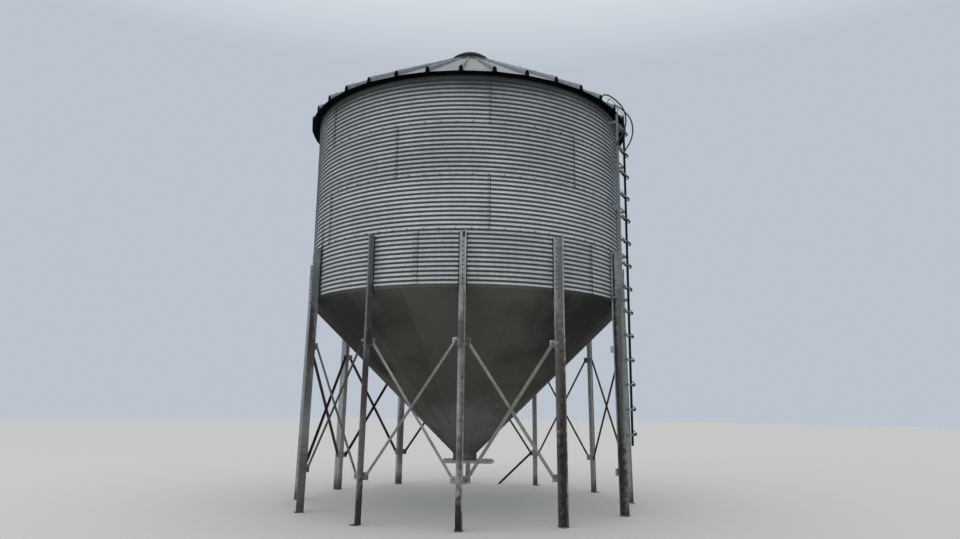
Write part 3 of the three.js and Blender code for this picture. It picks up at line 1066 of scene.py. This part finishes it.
@dataclass
class RoofSheets:
    """The roof: 36 tapering sheets whose laps are tall hollow ribs, closed with black caps that
    also paint the shadow at the ribs' ends.
    """

    eave_radius: float = 2.893
    eave_height: float = 6.509
    peak_radius: float = 0.372
    slope: float = 31.5
    ribs: int = 36
    offset: float = -1.36
    rib_height: float = 87 * MM
    rib_peak_height: float = 20 * MM
    rib_width: float = 60 * MM
    rib_peak_width: float = 26 * MM
    gauge: float = 1.5 * MM
    arch_points: int = 9
    crown_power: float = 0.7
    shoulder_power: float = 0.85
    spans: int = 10
    wall_radius: float = 2.745
    cap_proud: float = 4 * MM
    cap_growth: float = 1.1
    cap_depth: float = 16 * MM
    soffit_drop: float = 13 * MM
    soffit_inset: float = 4 * MM
    soffit_steps: int = 144
    screw_pitch: float = 0.42
    first_screw: float = 0.12
    screwless: float = 0.2
    sharp: float = 50
    sheet_seed: int = 36
    cap_seed: int = 37
    screws: Bolt = field(default_factory=lambda: Bolt(across=13 * MM, head=5 * MM, washer=19 * MM))

    def height_at(self, radius: float) -> float:
        """Gives the deck's height at a radius."""
        return self.eave_height + (self.eave_radius - radius) * math.tan(math.radians(self.slope))

    def taper(self, radius: float, eave: float, peak: float) -> float:
        """Gives a rib's size at a radius from its sizes at the eave and at the peak."""
        along = (self.eave_radius - radius) / (self.eave_radius - self.peak_radius)
        return eave + (peak - eave) * along

    def arch(self, radius: float) -> list[tuple[float, float]]:
        """Gives half a rib's outline at a radius, from its crown down to the deck.

        Args:
            radius: Distance from the axis.

        Returns:
            Points of distance from the rib's middle and height above the deck.
        """
        width = self.taper(radius, self.rib_width, self.rib_peak_width)
        height = self.taper(radius, self.rib_height, self.rib_peak_height)
        points = []
        last = self.arch_points - 1
        for index in range(self.arch_points):
            turn = math.pi / 2 * index / last
            rise = height * math.cos(turn) ** self.crown_power if index < last else 0.0
            points.append((width / 2 * math.sin(turn) ** self.shoulder_power, rise))
        return points

    def section(self, radius: float) -> list[Vector]:
        """Gives one sheet's cross-section at a radius, from one rib's crown to the next one's.

        Args:
            radius: Distance from the axis.

        Returns:
            Its points, centred on the front.
        """
        half = math.radians(180 / self.ribs) * radius
        points = [(across - half, rise) for across, rise in self.arch(radius)]
        points += [(half - across, rise) for across, rise in reversed(self.arch(radius))]
        base = self.height_at(radius)
        return [
            Vector((across, -math.sqrt(radius**2 - across**2), base + rise))
            for across, rise in points
        ]

    def build_sheets(self, shop: Workshop) -> None:
        """Builds the ribbed sheets as one piece.

        Args:
            shop: The workshop.
        """
        bm = bmesh.new()
        chains = []
        for index in range(self.spans + 1):
            share = index / self.spans
            radius = self.eave_radius + (self.peak_radius - self.eave_radius) * share
            chain = draw_section(bm, self.section(radius))
            chains.append(of_kind(bmesh.types.BMEdge, chain))
        for lower, upper in zip(chains, chains[1:]):
            bmesh.ops.bridge_loops(bm, edges=[*lower, *upper])
        turn_round(bm, self.offset + 180 / self.ribs)
        thicken(bm, self.gauge, Vector((0, 0, 1)))
        repeat_round(bm, self.ribs, self.sheet_seed)
        shop.add(bm, "roof_sheets", ROOF_ZINC, Slot.ROOF, replaces=["roof"], sharp=self.sharp)

    def build_closures(self, shop: Workshop) -> None:
        """Builds the black caps on the ribs' ends, a little wider than the ribs so that they also
        paint the shadow round each end.

        Args:
            shop: The workshop.
        """
        bm = bmesh.new()
        radius = self.eave_radius + self.cap_proud
        half = self.arch(radius)
        outline = [(-across, rise) for across, rise in reversed(half)] + half[1:]
        base = self.height_at(radius) - 2 * self.gauge
        verts = []
        for across, rise in outline:
            verts.append(bm.verts.new((self.cap_growth * across, -radius, base + rise)))
        face = bm.faces.new(verts)
        pushed = bmesh.ops.extrude_face_region(bm, geom=[face])["geom"]
        back = of_kind(bmesh.types.BMVert, pushed)
        bmesh.ops.translate(bm, vec=(0, self.cap_depth, 0), verts=back)
        bmesh.ops.recalc_face_normals(bm, faces=bm.faces[:])
        turn_round(bm, self.offset)
        repeat_round(bm, self.ribs, self.cap_seed)
        shop.add(bm, "rib_closures", EAVE_BLACK, Slot.TRIM)

    def build_soffit(self, shop: Workshop) -> None:
        """Builds a black sheet under the roof's overhang, as painted shade.

        Args:
            shop: The workshop.
        """
        bm = bmesh.new()
        radii = (self.eave_radius - self.soffit_inset, self.wall_radius)
        profile = [(radius, self.height_at(radius) - self.soffit_drop) for radius in radii]
        sweep_round(bm, profile, 0, 360, self.soffit_steps)
        thicken(bm, self.gauge, Vector((0, 0, -1)))
        shop.add(bm, "eave_soffit", EAVE_BLACK, Slot.TRIM)

    def build_screws(self, shop: Workshop) -> None:
        """Builds the screws along the ribs' crowns.

        Args:
            shop: The workshop.
        """
        run = self.eave_radius - self.peak_radius - self.screwless
        count = int(run / self.screw_pitch) + 1
        fall = self.rib_height - self.rib_peak_height
        lean = math.degrees(math.atan2(fall, self.eave_radius - self.peak_radius))
        tilt = 90 - self.slope + lean
        places = []
        for rib in range(self.ribs):
            azimuth = self.offset + 360 / self.ribs * rib
            for index in range(count):
                radius = self.eave_radius - self.first_screw - run * index / (count - 1)
                height = self.height_at(radius)
                height += self.taper(radius, self.rib_height, self.rib_peak_height)
                places.append(at(polar(azimuth, radius, height), facing(azimuth, tilt)))
        self.screws.build(shop, "roof_screws", places, BOLT_ZINC, Slot.ROOF)


@dataclass
class PeakLid:
    """The lid on the filling neck: a spun dome with a rolled brim.

    The brim and its bead are given as steps outside the dome and above the seat or the brim's
    lower edge.
    """

    brim_radius: float = 0.366
    seat: float = 8.1223
    hang: float = 28 * MM
    rise: float = 150 * MM
    shoulder: float = 8 * MM
    flat: float = 0.1
    bow: float = 16 * MM
    power: float = 1.1
    spans: int = 10
    brim: tuple[float, float] = (1 * MM, 2 * MM)
    bead: Profile = (
        (1 * MM, 6 * MM),
        (4 * MM, 3 * MM),
        (4 * MM, -1 * MM),
        (0.0, -2 * MM),
    )
    gauge: float = 2 * MM
    steps: int = 60

    def build(self, shop: Workshop) -> None:
        """Builds the lid as one piece.

        Args:
            shop: The workshop.
        """
        top = self.seat + self.rise
        profile = [(0.0, top)]
        for index in range(self.spans + 1):
            share = index / self.spans
            radius = self.flat + (self.brim_radius - self.flat) * share
            drop = share**self.power * (self.rise - self.shoulder)
            profile.append((radius, top - drop + self.bow * math.sin(math.pi * share)))
        out, up = self.brim
        profile.append((self.brim_radius + out, self.seat + up))
        low = self.seat - self.hang
        profile += [(self.brim_radius + out, low + up) for out, up in self.bead]
        bm = bmesh.new()
        sweep_round(bm, profile, 0, 360, self.steps)
        thicken(bm, self.gauge)
        shop.add(bm, "peak_lid_dome", LID_ZINC, Slot.TRIM, replaces=["peak_lid"])


# ---------------------------------------------------------------- the hopper and outlet


@dataclass
class HopperSheets:
    """The hopper: twenty tapering sheets that lap at bolted seams."""

    top_radius: float = 2.738
    top: float = 3.272
    outlet_radius: float = 0.206
    slope: float = 44.2
    sheets: int = 20
    first_seam: float = -20.75
    lap: float = 1.7
    steps: int = 6
    spans: int = 12
    gauge: float = 3 * MM
    lap_lift: float = 1.6
    bolt_pitch: float = 0.1
    first_bolt: float = 0.05
    boltless: float = 0.12
    sheet_seed: int = 20
    bolts: Bolt = field(default_factory=lambda: Bolt(across=15 * MM, head=6 * MM, washer=0.0))

    def height_at(self, radius: float) -> float:
        """Gives the cone's height at a radius."""
        return self.top - (self.top_radius - radius) * math.tan(math.radians(self.slope))

    def build_sheets(self, shop: Workshop) -> None:
        """Builds the cone's sheets as one piece.

        Args:
            shop: The workshop.
        """
        bm = bmesh.new()
        reach = self.outlet_radius - self.top_radius
        radii = [self.top_radius + reach * index / self.spans for index in range(self.spans + 1)]
        sweep = 360 / self.sheets + self.lap
        profile = [(radius, self.height_at(radius)) for radius in radii]
        sweep_round(bm, profile, self.first_seam, sweep, self.steps)
        lift_lap(bm, self.first_seam, sweep, self.lap_lift * self.gauge, Vector((0, 0, -1)))
        thicken(bm, self.gauge)
        repeat_round(bm, self.sheets, self.sheet_seed)
        shop.add(bm, "hopper_sheets", HOPPER_ZINC, Slot.HOPPER, replaces=["hopper_cone"])

    def build_bolts(self, shop: Workshop) -> None:
        """Builds the bolts along the cone's seams.

        Args:
            shop: The workshop.
        """
        run_share = math.cos(math.radians(self.slope))
        length = (self.top_radius - self.outlet_radius - self.boltless) / run_share
        count = int(length / self.bolt_pitch)
        places = []
        for sheet in range(self.sheets):
            azimuth = self.first_seam + self.lap / 2 + 360 / self.sheets * sheet
            for index in range(count):
                along = self.first_bolt + self.bolt_pitch * index
                radius = self.top_radius - along * run_share
                height = self.height_at(radius) - self.lap_lift * self.gauge
                place = polar(azimuth, radius, height)
                places.append(at(place, facing(azimuth, self.slope - 90)))
        self.bolts.build(shop, "hopper_bolts", places, BOLT_ZINC, Slot.HOPPER)


@dataclass
class BaseRing:
    """The angle ring under the wall, dark with the hopper's painted shade, and the close row of
    bolts along the wall's foot.
    """

    wall_radius: float = 2.7435
    height: float = 3.3235
    count: int = 360
    leg_clear: float = 58 * MM
    bolts: Bolt = field(default_factory=lambda: Bolt(across=19 * MM, head=9 * MM, washer=0.0))

    def build(self, shop: Workshop) -> None:
        """Dresses the CAD ring and builds its bolts.

        Args:
            shop: The workshop.
        """
        shop.dress(["hopper_base_ring"], HOPPER_ZINC)
        places = []
        for index in range(self.count):
            azimuth = 360 / self.count * (index + 0.5)
            off_leg = abs((azimuth + LEG_STEP / 2) % LEG_STEP - LEG_STEP / 2)
            if math.radians(off_leg) * self.wall_radius > self.leg_clear:
                places.append(at(polar(azimuth, self.wall_radius, self.height), facing(azimuth)))
        self.bolts.build(shop, "base_ring_bolts", places, DARK_BOLT, Slot.TRIM)


@dataclass
class Outlet:
    """The outlet collar, the gate's channel frame and its slide."""

    flange_top: float = 0.692
    row: float = 0.224
    pitch: float = 0.11
    count: int = 7
    middle: float = 0.04
    bolts: Bolt = field(default_factory=lambda: Bolt(across=13 * MM, head=6 * MM, washer=18 * MM))

    def build(self, shop: Workshop) -> None:
        """Dresses the CAD nodes of the outlet and builds the bolts along the frame.

        Args:
            shop: The workshop.
        """
        # The collar takes the hopper's finish with its painted shade.
        shop.dress(["outlet_collar"], HOPPER_ZINC)
        shop.dress(["gate_frame", "slide_gate"], OUTLET_STEEL)
        places = []
        for side in (-1, 1):
            for index in range(self.count):
                along = self.middle + self.pitch * (index - (self.count - 1) / 2)
                places.append(Matrix.Translation((along, side * self.row, self.flange_top)))
        self.bolts.build(shop, "gate_bolts", places, BOLT_ZINC, Slot.OUTLET)


# ---------------------------------------------------------------- legs and ladder


# The nearer legs and one far one. A patch's place is given on the leg's own flange: across it,
# out from its back, and above the ground.
LEG_FINISHES = {
    1: replace(
        LEG_ZINC,
        bright="c3c2c0",
        dull="8b8a88",
        dirt_amount=0.45,
        grime="2f2825",
        grime_top=0.4,
        stains_and_shade=(
            StainOrShade((0.02, 0.003, 4.06), 0.035, 0.06, "141212", 0.95),
            StainOrShade((0.03, 0.0, 2.9), 0.03, 0.5, "65635f", 0.6),
            StainOrShade((-0.01, 0.0, 2.73), 0.045, 0.22, "6a6866", 0.7),
            StainOrShade((0.0, 0.0, 2.56), 0.09, 0.28, "5c5a57", 0.75),
            StainOrShade((0.0, 0.0, 1.0), 0.09, 0.22, "6a6763", 0.75),
            StainOrShade((0.06, 0.06, 1.75), 0.1, 2.0, "413f3d", 0.78),
            StainOrShade((0.0, 0.0, 0.0), 0.14, 0.6, "271e19", 0.9),
            # Painted shadow on the upper gussets.
            StainOrShade((0.095, -0.008, 2.51), 0.05, 0.1, "3c3b38", 0.85),
            StainOrShade((-0.075, -0.008, 2.49), 0.025, 0.05, "3c3b38", 0.85),
        ),
    ),
    2: replace(
        LEG_ZINC,
        bright="c6c6c3",
        dull="9a9b99",
        grime="271e1c",
        grime_top=0.6,
        stains_and_shade=(
            # Painted shade on the web face.
            StainOrShade((0.055, 0.055, 3.4), 0.07, 1.6, "5b5e60", 0.7),
            StainOrShade((-0.01, 0.0, 2.75), 0.035, 0.35, "62605b", 0.8),
            StainOrShade((0.0, 0.02, 1.9), 0.14, 1.1, "605953", 0.85),
            StainOrShade((0.0, 0.02, 0.7), 0.14, 0.75, "4c413b", 0.85),
            # Painted shade on the web face, brown with dirt low down.
            StainOrShade((0.047, 0.055, 1.1), 0.08, 1.6, "3b302d", 0.9),
        ),
    ),
    3: replace(
        LEG_ZINC,
        bright="c2c4c2",
        dull="8f9292",
        dirt_amount=0.45,
        grime="2c2623",
        grime_top=0.45,
        stains_and_shade=(
            # Painted shadow in the fold between flange and web.
            StainOrShade((0.05, 0.01, 3.6), 0.03, 1.2, "26282a", 0.9),
            StainOrShade((0.03, 0.0, 2.3), 0.06, 1.3, "281c1b", 0.95),
            StainOrShade((0.044, 0.02, 1.4), 0.06, 1.5, "40332f", 0.85),
            StainOrShade((0.044, 0.085, 2.3), 0.075, 1.6, "626a66", 0.75),
            StainOrShade((0.0, 0.02, 0.6), 0.13, 0.8, "3d302c", 0.9),
        ),
    ),
    8: replace(
        LEG_ZINC,
        grime="2c2623",
        stains_and_shade=(StainOrShade((0.0, 0.02, 0.95), 0.12, 0.6, "75666b", 0.85),),
    ),
    11: replace(
        LEG_ZINC,
        bright="9b9ca0",
        dull="717279",
        dirt_amount=0.55,
        grime="3b3531",
        grime_top=0.35,
        stains_and_shade=(
            StainOrShade((0.045, 0.06, 3.45), 0.1, 0.45, "5d635c", 0.7),
            StainOrShade((0.04, 0.1, 2.85), 0.07, 0.45, "2f2a29", 0.9),
            StainOrShade((0.045, 0.06, 2.45), 0.12, 0.4, "3b3c36", 0.8),
            StainOrShade((0.045, 0.07, 1.8), 0.07, 0.6, "4a4e42", 0.75),
            StainOrShade((0.03, 0.05, 1.2), 0.12, 0.5, "7e7f83", 0.7),
            StainOrShade((0.03, 0.05, 0.5), 0.16, 0.6, "605a55", 0.85),
        ),
    ),
    12: replace(
        LEG_ZINC,
        bright="9b9a98",
        dull="72716f",
        dirt_amount=0.55,
        grime="2a2322",
        grime_top=0.6,
        stains_and_shade=(
            StainOrShade((0.045, 0.05, 3.65), 0.1, 0.8, "565b5e", 0.85),
            StainOrShade((0.045, 0.045, 2.95), 0.09, 0.55, "3a3836", 0.9),
            StainOrShade((0.03, 0.114, 3.0), 0.03, 1.7, "7d7b78", 0.8),
            StainOrShade((0.03, 0.02, 2.55), 0.1, 0.2, "3b2a28", 0.9),
            StainOrShade((0.03, 0.05, 2.15), 0.14, 0.3, "37353a", 0.9),
            StainOrShade((0.03, 0.05, 1.72), 0.14, 0.4, "4a2e29", 0.9),
            StainOrShade((0.02, 0.02, 1.1), 0.13, 0.75, "625a5b", 0.85),
            StainOrShade((0.02, 0.02, 0.2), 0.13, 0.5, "33292a", 0.9),
        ),
    ),
}
# The lighter braces, by bay, painted as lit.
BRACE_TONES = {
    1: {"bright": "a19f96", "dull": "7b786f"},
    3: {"bright": "5f5d59", "dull": "3d3b38"},
    11: {"bright": "6f6e6a", "dull": "454440"},
    12: {"bright": "a19f96", "dull": "7b786f"},
}


@dataclass
class Legs:
    """Twelve legs with gussets, foot plates and crossed braces."""

    flange_back: float = 2.7433
    flange_radius: float = 2.7493
    bolt_count: int = 12
    levels: tuple[float, float] = (0.645, 2.510)
    open_bay: int = 2
    gusset_across: float = 50 * MM
    gusset_middle: float = 40 * MM
    gusset_radius: float = 2.7463
    bend: float = 3.3
    splay: float = 55 * MM
    plate_half: float = 3 * MM
    leaf_outer: float = 8.3 * MM
    foot_top: float = 8 * MM
    foot_bolt_across: float = 48 * MM
    foot_bolt_out: float = 2.8
    bolts: Bolt = field(default_factory=lambda: Bolt(head=8 * MM, washer=22 * MM))
    brace_bolts: Bolt = field(
        default_factory=lambda: Bolt(across=16 * MM, head=8 * MM, washer=22 * MM)
    )
    shadow_strip_middle: tuple[float, float, float] = (55.5 * MM, 2.7445, 3.648)
    shadow_strip_size: tuple[float, float, float] = (13 * MM, 4.5 * MM, 0.875)
    shadow_strip_bevel: float = 1 * MM

    def build_shadow_strips(self, shop: Workshop) -> None:
        """Builds black strips that stand out beside each leg's flange, as painted shadow between
        flange and wall.

        Args:
            shop: The workshop.
        """
        bm = bmesh.new()
        across, radius, height = self.shadow_strip_middle
        size = Matrix.Diagonal((*self.shadow_strip_size, 1.0))
        for leg in range(LEG_COUNT):
            turn = Matrix.Rotation(math.radians(LEG_STEP * leg), 4, "Z")
            for side in (-1, 1):
                place = turn @ Matrix.Translation((side * across, -radius, height))
                bmesh.ops.create_cube(bm, size=1.0, matrix=place @ size)
        bmesh.ops.bevel(
            bm,
            geom=bm.edges[:],
            offset=self.shadow_strip_bevel,
            segments=1,
            profile=0.5,
            material=-1,
            affect="EDGES",
        )
        shop.add(bm, "leg_shadow_strips", EAVE_BLACK, Slot.TRIM, sharp=SMALL_SHARP)

    def finish_of(self, number: int) -> ZincFinish:
        """Gives the finish of one leg, with its stains placed round the bin.

        Args:
            number: The leg's number, counted from the front leg.

        Returns:
            The finish, with a name of its own.
        """
        finish = LEG_FINISHES.get(number, LEG_ZINC)
        azimuth = LEG_STEP * (number - 1)
        side = polar(azimuth + 90, 1, 0)
        stains_and_shade = []
        for stain_or_shade in finish.stains_and_shade:
            across, out, height = stain_or_shade.place
            place = polar(azimuth, self.flange_back + out + self.lean(height), height)
            place += side * across
            stains_and_shade.append(replace(stain_or_shade, place=tuple(place)))
        return replace(finish, name=f"{finish.name} {number}", stains_and_shade=tuple(stains_and_shade))

    def lean(self, height: float) -> float:
        """Gives how far a leg has moved out at a height; it leans only below its bend."""
        return self.splay * max(1 - height / self.bend, 0.0)

    def gusset_place(self, bay: int, side: int, height: float, lift: float) -> Matrix:
        """Gives the place of a bolt on a gusset, or on the bar that lies on it.

        Args:
            bay: Number of the bay; it lies between the leg of that number and the next.
            side: -1 at the bay's left leg seen from outside, 1 at its right leg.
            height: Height of the bolt.
            lift: How far it stands out from the gusset's middle plane.

        Returns:
            Place and turn of the bolt's foot.
        """
        azimuth = LEG_STEP * (bay - 0.5)
        half = math.radians(LEG_STEP / 2)
        across = self.gusset_across + self.gusset_middle * math.cos(half)
        radius = self.gusset_radius + self.lean(height) - self.gusset_middle * math.sin(half)
        along = radius * math.sin(half) - across * math.cos(half)
        out = radius * math.cos(half) + across * math.sin(half) + lift
        point = polar(azimuth, out, height) + polar(azimuth + 90, side * along, 0)
        return at(point, facing(azimuth))

    def dress(self, shop: Workshop) -> None:
        """Gives every leg and brace its own finish.

        Args:
            shop: The workshop.
        """
        for number in range(1, LEG_COUNT + 1):
            shop.dress([f"leg_{number:02d}"], self.finish_of(number))
            if number == self.open_bay:
                continue
            # Far braces keep the painted shade; the listed bays are painted lighter, as lit.
            name = f"{BRACE_ZINC.name} {number}"
            finish = replace(BRACE_ZINC, name=name, **BRACE_TONES.get(number, {}))
            shop.dress([f"cross_brace_{number:02d}"], finish)
        # The prop is painted dark as shade, like the far braces.
        shop.dress(["ground_strut"], replace(BRACE_ZINC, name="prop angle in painted shade"))

    def build_leg_bolts(self, shop: Workshop) -> None:
        """Builds the bolts that hold the legs to the wall, and those in their foot plates.

        Args:
            shop: The workshop.
        """
        places = []
        for leg in range(LEG_COUNT):
            azimuth = LEG_STEP * leg
            for index in range(self.bolt_count):
                height = FIRST_CREST + CREST_PITCH * index
                places.append(at(polar(azimuth, self.flange_radius, height), facing(azimuth)))
            for across in (-self.foot_bolt_across, self.foot_bolt_across):
                foot = polar(azimuth, self.foot_bolt_out, self.foot_top)
                foot += polar(azimuth + 90, across, 0)
                places.append(Matrix.Translation(foot))
        self.bolts.build(shop, "leg_bolts", places, DARK_BOLT, Slot.LEG)

    def build_brace_bolts(self, shop: Workshop) -> None:
        """Builds the bolts that hold the braces to the gussets.

        Args:
            shop: The workshop.
        """
        places = []
        for bay in range(1, LEG_COUNT + 1):
            if bay == self.open_bay:
                continue
            low, high = self.levels
            for side, height, lift in (
                (-1, low, self.leaf_outer),
                (1, high, self.leaf_outer),
                (1, low, self.plate_half),
                (-1, high, self.plate_half),
            ):
                places.append(self.gusset_place(bay, side, height, lift))
        self.brace_bolts.build(shop, "brace_bolts", places, BOLT_ZINC, Slot.BRACE)

    def build(self, shop: Workshop) -> None:
        """Dresses the CAD legs and braces and builds their bolts, and the black strips of painted
        shadow beside each flange.

        Args:
            shop: The workshop.
        """
        self.dress(shop)
        self.build_leg_bolts(shop)
        self.build_brace_bolts(shop)
        self.build_shadow_strips(shop)


@dataclass
class Ladder:
    """The outside ladder with its brackets, grab rails and the hooked ends of its treads."""

    brackets: int = 5
    azimuth: float = 63.64
    half_width: float = 0.2055
    rail_face: float = 2.917
    rail_radius: float = 2.899
    middle: float = 3.73
    treads: int = 14
    first_tread: float = 1.21
    tread_pitch: float = 386.5 * MM
    shade: StainOrShade = StainOrShade((0, 0, 0), 0.27, 9.0, "1c2023", 0.92)
    hook_width: float = 30 * MM
    hook_gauge: float = 10 * MM
    hook: Profile = (
        (0.0, 0.050),
        (0.020, 0.036),
        (0.040, 0.018),
        (0.052, 0.0),
        (0.053, -0.016),
        (0.044, -0.032),
        (0.024, -0.040),
        (0.0, -0.036),
    )

    def build(self, shop: Workshop) -> None:
        """Dresses the ladder's CAD nodes and builds the treads' ends.

        Args:
            shop: The workshop.
        """
        right_rail = polar(self.azimuth, self.rail_radius, self.middle)
        right_rail += polar(self.azimuth + 90, self.half_width, 0)
        # Painted shade down the right rail and the right ends of the treads.
        shade = replace(self.shade, place=tuple(right_rail))
        shop.dress(["ladder"], replace(LADDER_ZINC, stains_and_shade=(shade,)))
        brackets = [f"ladder_bracket_{index}" for index in range(1, self.brackets + 1)]
        plain = replace(LADDER_ZINC, name="ladder bracket flat")
        shop.dress(brackets, plain)
        shop.dress(["grab_rail_left", "grab_rail_right"], RAIL_ZINC)
        self._hooks(shop, "tread_hooks_left", -1, plain)
        self._hooks(shop, "tread_hooks_right", 1, TREAD_BLACK)

    def _hooks(self, shop: Workshop, name: str, side: int, finish: ZincFinish) -> None:
        """Builds the hooked end of each tread along one rail.

        Args:
            shop: The workshop.
            name: Name of the piece.
            side: -1 for the left rail seen from outside, 1 for the right one.
            finish: Finish of the hooks.
        """
        bm = bmesh.new()
        start = side * self.half_width - self.hook_width / 2
        for index in range(self.treads):
            level = self.first_tread + self.tread_pitch * index
            points = []
            for out, rise in self.hook:
                points.append(Vector((start, -(self.rail_face + out), level + rise)))
            edges = of_kind(bmesh.types.BMEdge, draw_section(bm, points))
            swept = bmesh.ops.extrude_edge_only(bm, edges=edges)["geom"]
            verts = of_kind(bmesh.types.BMVert, swept)
            bmesh.ops.translate(bm, vec=(self.hook_width, 0, 0), verts=verts)
        bmesh.ops.recalc_face_normals(bm, faces=bm.faces[:])
        bmesh.ops.solidify(bm, geom=bm.faces[:], thickness=self.hook_gauge)
        bmesh.ops.recalc_face_normals(bm, faces=bm.faces[:])
        turn_round(bm, self.azimuth)
        shop.add(bm, name, finish, Slot.LADDER)


# ---------------------------------------------------------------- studio


@dataclass
class Studio:
    """The pale floor, soft light and camera."""

    floor_radius: float = 60.0
    floor_sides: int = 96
    floor_colour: str = "b8b7b3"
    floor_roughness: float = 0.9
    lamp_place: tuple[float, float, float] = (-16, -12, 14)
    lamp_aim: tuple[float, float, float] = (0, 0, 4)
    lamp_size: float = 16
    lamp_power: float = 500
    camera_place: tuple[float, float, float] = (0.309, -12.502, 1.678)
    heading: float = 0.366
    pitch: float = 10.74
    roll: float = 0.62
    focal_pixels: float = 697.35
    frame_pixels: float = 960
    sensor: float = 36.0
    far_clip: float = 200
    sky_level: str = "bbc4ce"
    sky_zenith: str = "ffffff"
    level_end: float = 0.45
    zenith_start: float = 0.9
    zenith_strength: float = 1.9

    def build(self) -> None:
        """Builds the floor, the lights, the sky and the camera."""
        self._floor()
        self._sky()
        self._lamp()
        self._camera()

    def _floor(self) -> None:
        """Builds the pale floor as one wide disc."""
        bm = bmesh.new()
        bmesh.ops.create_circle(
            bm, cap_ends=True, segments=self.floor_sides, radius=self.floor_radius
        )
        mesh = bpy.data.meshes.new("studio_floor")
        bm.to_mesh(mesh)
        bm.free()
        material = bpy.data.materials.new("pale studio floor")
        material.use_nodes = True
        shader = material.node_tree.nodes["Principled BSDF"]
        shader.inputs["Base Color"].default_value = hex_to_linear(self.floor_colour)
        shader.inputs["Roughness"].default_value = self.floor_roughness
        mesh.materials.append(material)
        floor = bpy.data.objects.new("studio_floor", mesh)
        bpy.context.scene.collection.objects.link(floor)

    def _sky(self) -> None:
        """Fills the surroundings with a pale light that grows towards the zenith."""
        world = bpy.data.worlds.new("studio_sky")
        bpy.context.scene.world = world
        world.use_nodes = True
        tree = world.node_tree
        look = add_node(tree, "ShaderNodeTexCoord").outputs["Generated"]
        upward = add_node(tree, "ShaderNodeSeparateXYZ", None, {0: look}).outputs[2]
        level, zenith = hex_to_linear(self.sky_level), hex_to_linear(self.sky_zenith)
        stops = ((0.0, level), (self.level_end, level), (self.zenith_start, zenith))
        ramp = add_node(tree, "ShaderNodeValToRGB", {"stops": stops}, {0: upward})
        background = tree.nodes["Background"]
        tree.links.new(ramp.outputs[0], background.inputs["Color"])
        inputs = {"Value": upward, "From Min": self.level_end, "From Max": 1.0}
        inputs |= {"To Min": 1.0, "To Max": self.zenith_strength}
        rise = add_node(tree, "ShaderNodeMapRange", None, inputs)
        tree.links.new(rise.outputs[0], background.inputs["Strength"])
        bpy.context.scene.view_settings.view_transform = "Standard"

    def _lamp(self) -> None:
        """Adds one large soft light that looks at the bin from the left."""
        light = bpy.data.lights.new("soft_left_light", "AREA")
        light.shape, light.size, light.energy = "SQUARE", self.lamp_size, self.lamp_power
        lamp = bpy.data.objects.new("soft_left_light", light)
        lamp.location = self.lamp_place
        look = Vector(self.lamp_aim) - Vector(self.lamp_place)
        lamp.rotation_euler = look.to_track_quat("-Z", "Y").to_euler()
        bpy.context.scene.collection.objects.link(lamp)

    def _camera(self) -> None:
        """Adds the camera at the photograph's view."""
        camera = bpy.data.cameras.new("photo_camera")
        camera.sensor_width = self.sensor
        camera.lens = self.sensor * self.focal_pixels / self.frame_pixels
        camera.clip_end = self.far_clip
        holder = bpy.data.objects.new("photo_camera", camera)
        holder.matrix_world = (
            Matrix.Translation(self.camera_place)
            @ Matrix.Rotation(math.radians(self.heading), 4, "Z")
            @ Matrix.Rotation(math.radians(90 + self.pitch), 4, "X")
            @ Matrix.Rotation(math.radians(self.roll), 4, "Z")
        )
        bpy.context.scene.collection.objects.link(holder)
        bpy.context.scene.camera = holder


def main() -> None:
    """Builds and dresses the silo."""
    logging.basicConfig(level=logging.INFO, format="%(name)s: %(message)s")
    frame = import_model()
    shop = Workshop(frame)
    Studio().build()
    rings = (
        CorrugatedRing("wall_ring_bottom", ring=0, seam=-14.75, seam_rows=2, lap=82 * MM),
        CorrugatedRing("wall_ring_lower", ring=1, seam=7.5),
        CorrugatedRing("wall_ring_upper", ring=2, seam=-22.3),
        CorrugatedRing("wall_ring_top", ring=3, seam=7.4),
    )
    for ring in rings:
        ring.build_sheets(shop)
        ring.build_sealer(shop)
        ring.build_bolts(shop)
    roof = RoofSheets()
    roof.build_sheets(shop)
    roof.build_closures(shop)
    roof.build_soffit(shop)
    roof.build_screws(shop)
    PeakLid().build(shop)
    # The eave ring is black as painted shade under the overhang.
    shop.dress(["eave_ring"], EAVE_BLACK)
    shop.dress(["peak_collar"], LID_ZINC)
    hopper = HopperSheets()
    hopper.build_sheets(shop)
    hopper.build_bolts(shop)
    BaseRing().build(shop)
    Outlet().build(shop)
    Legs().build(shop)
    Ladder().build(shop)


if __name__ == "__main__":
    main()
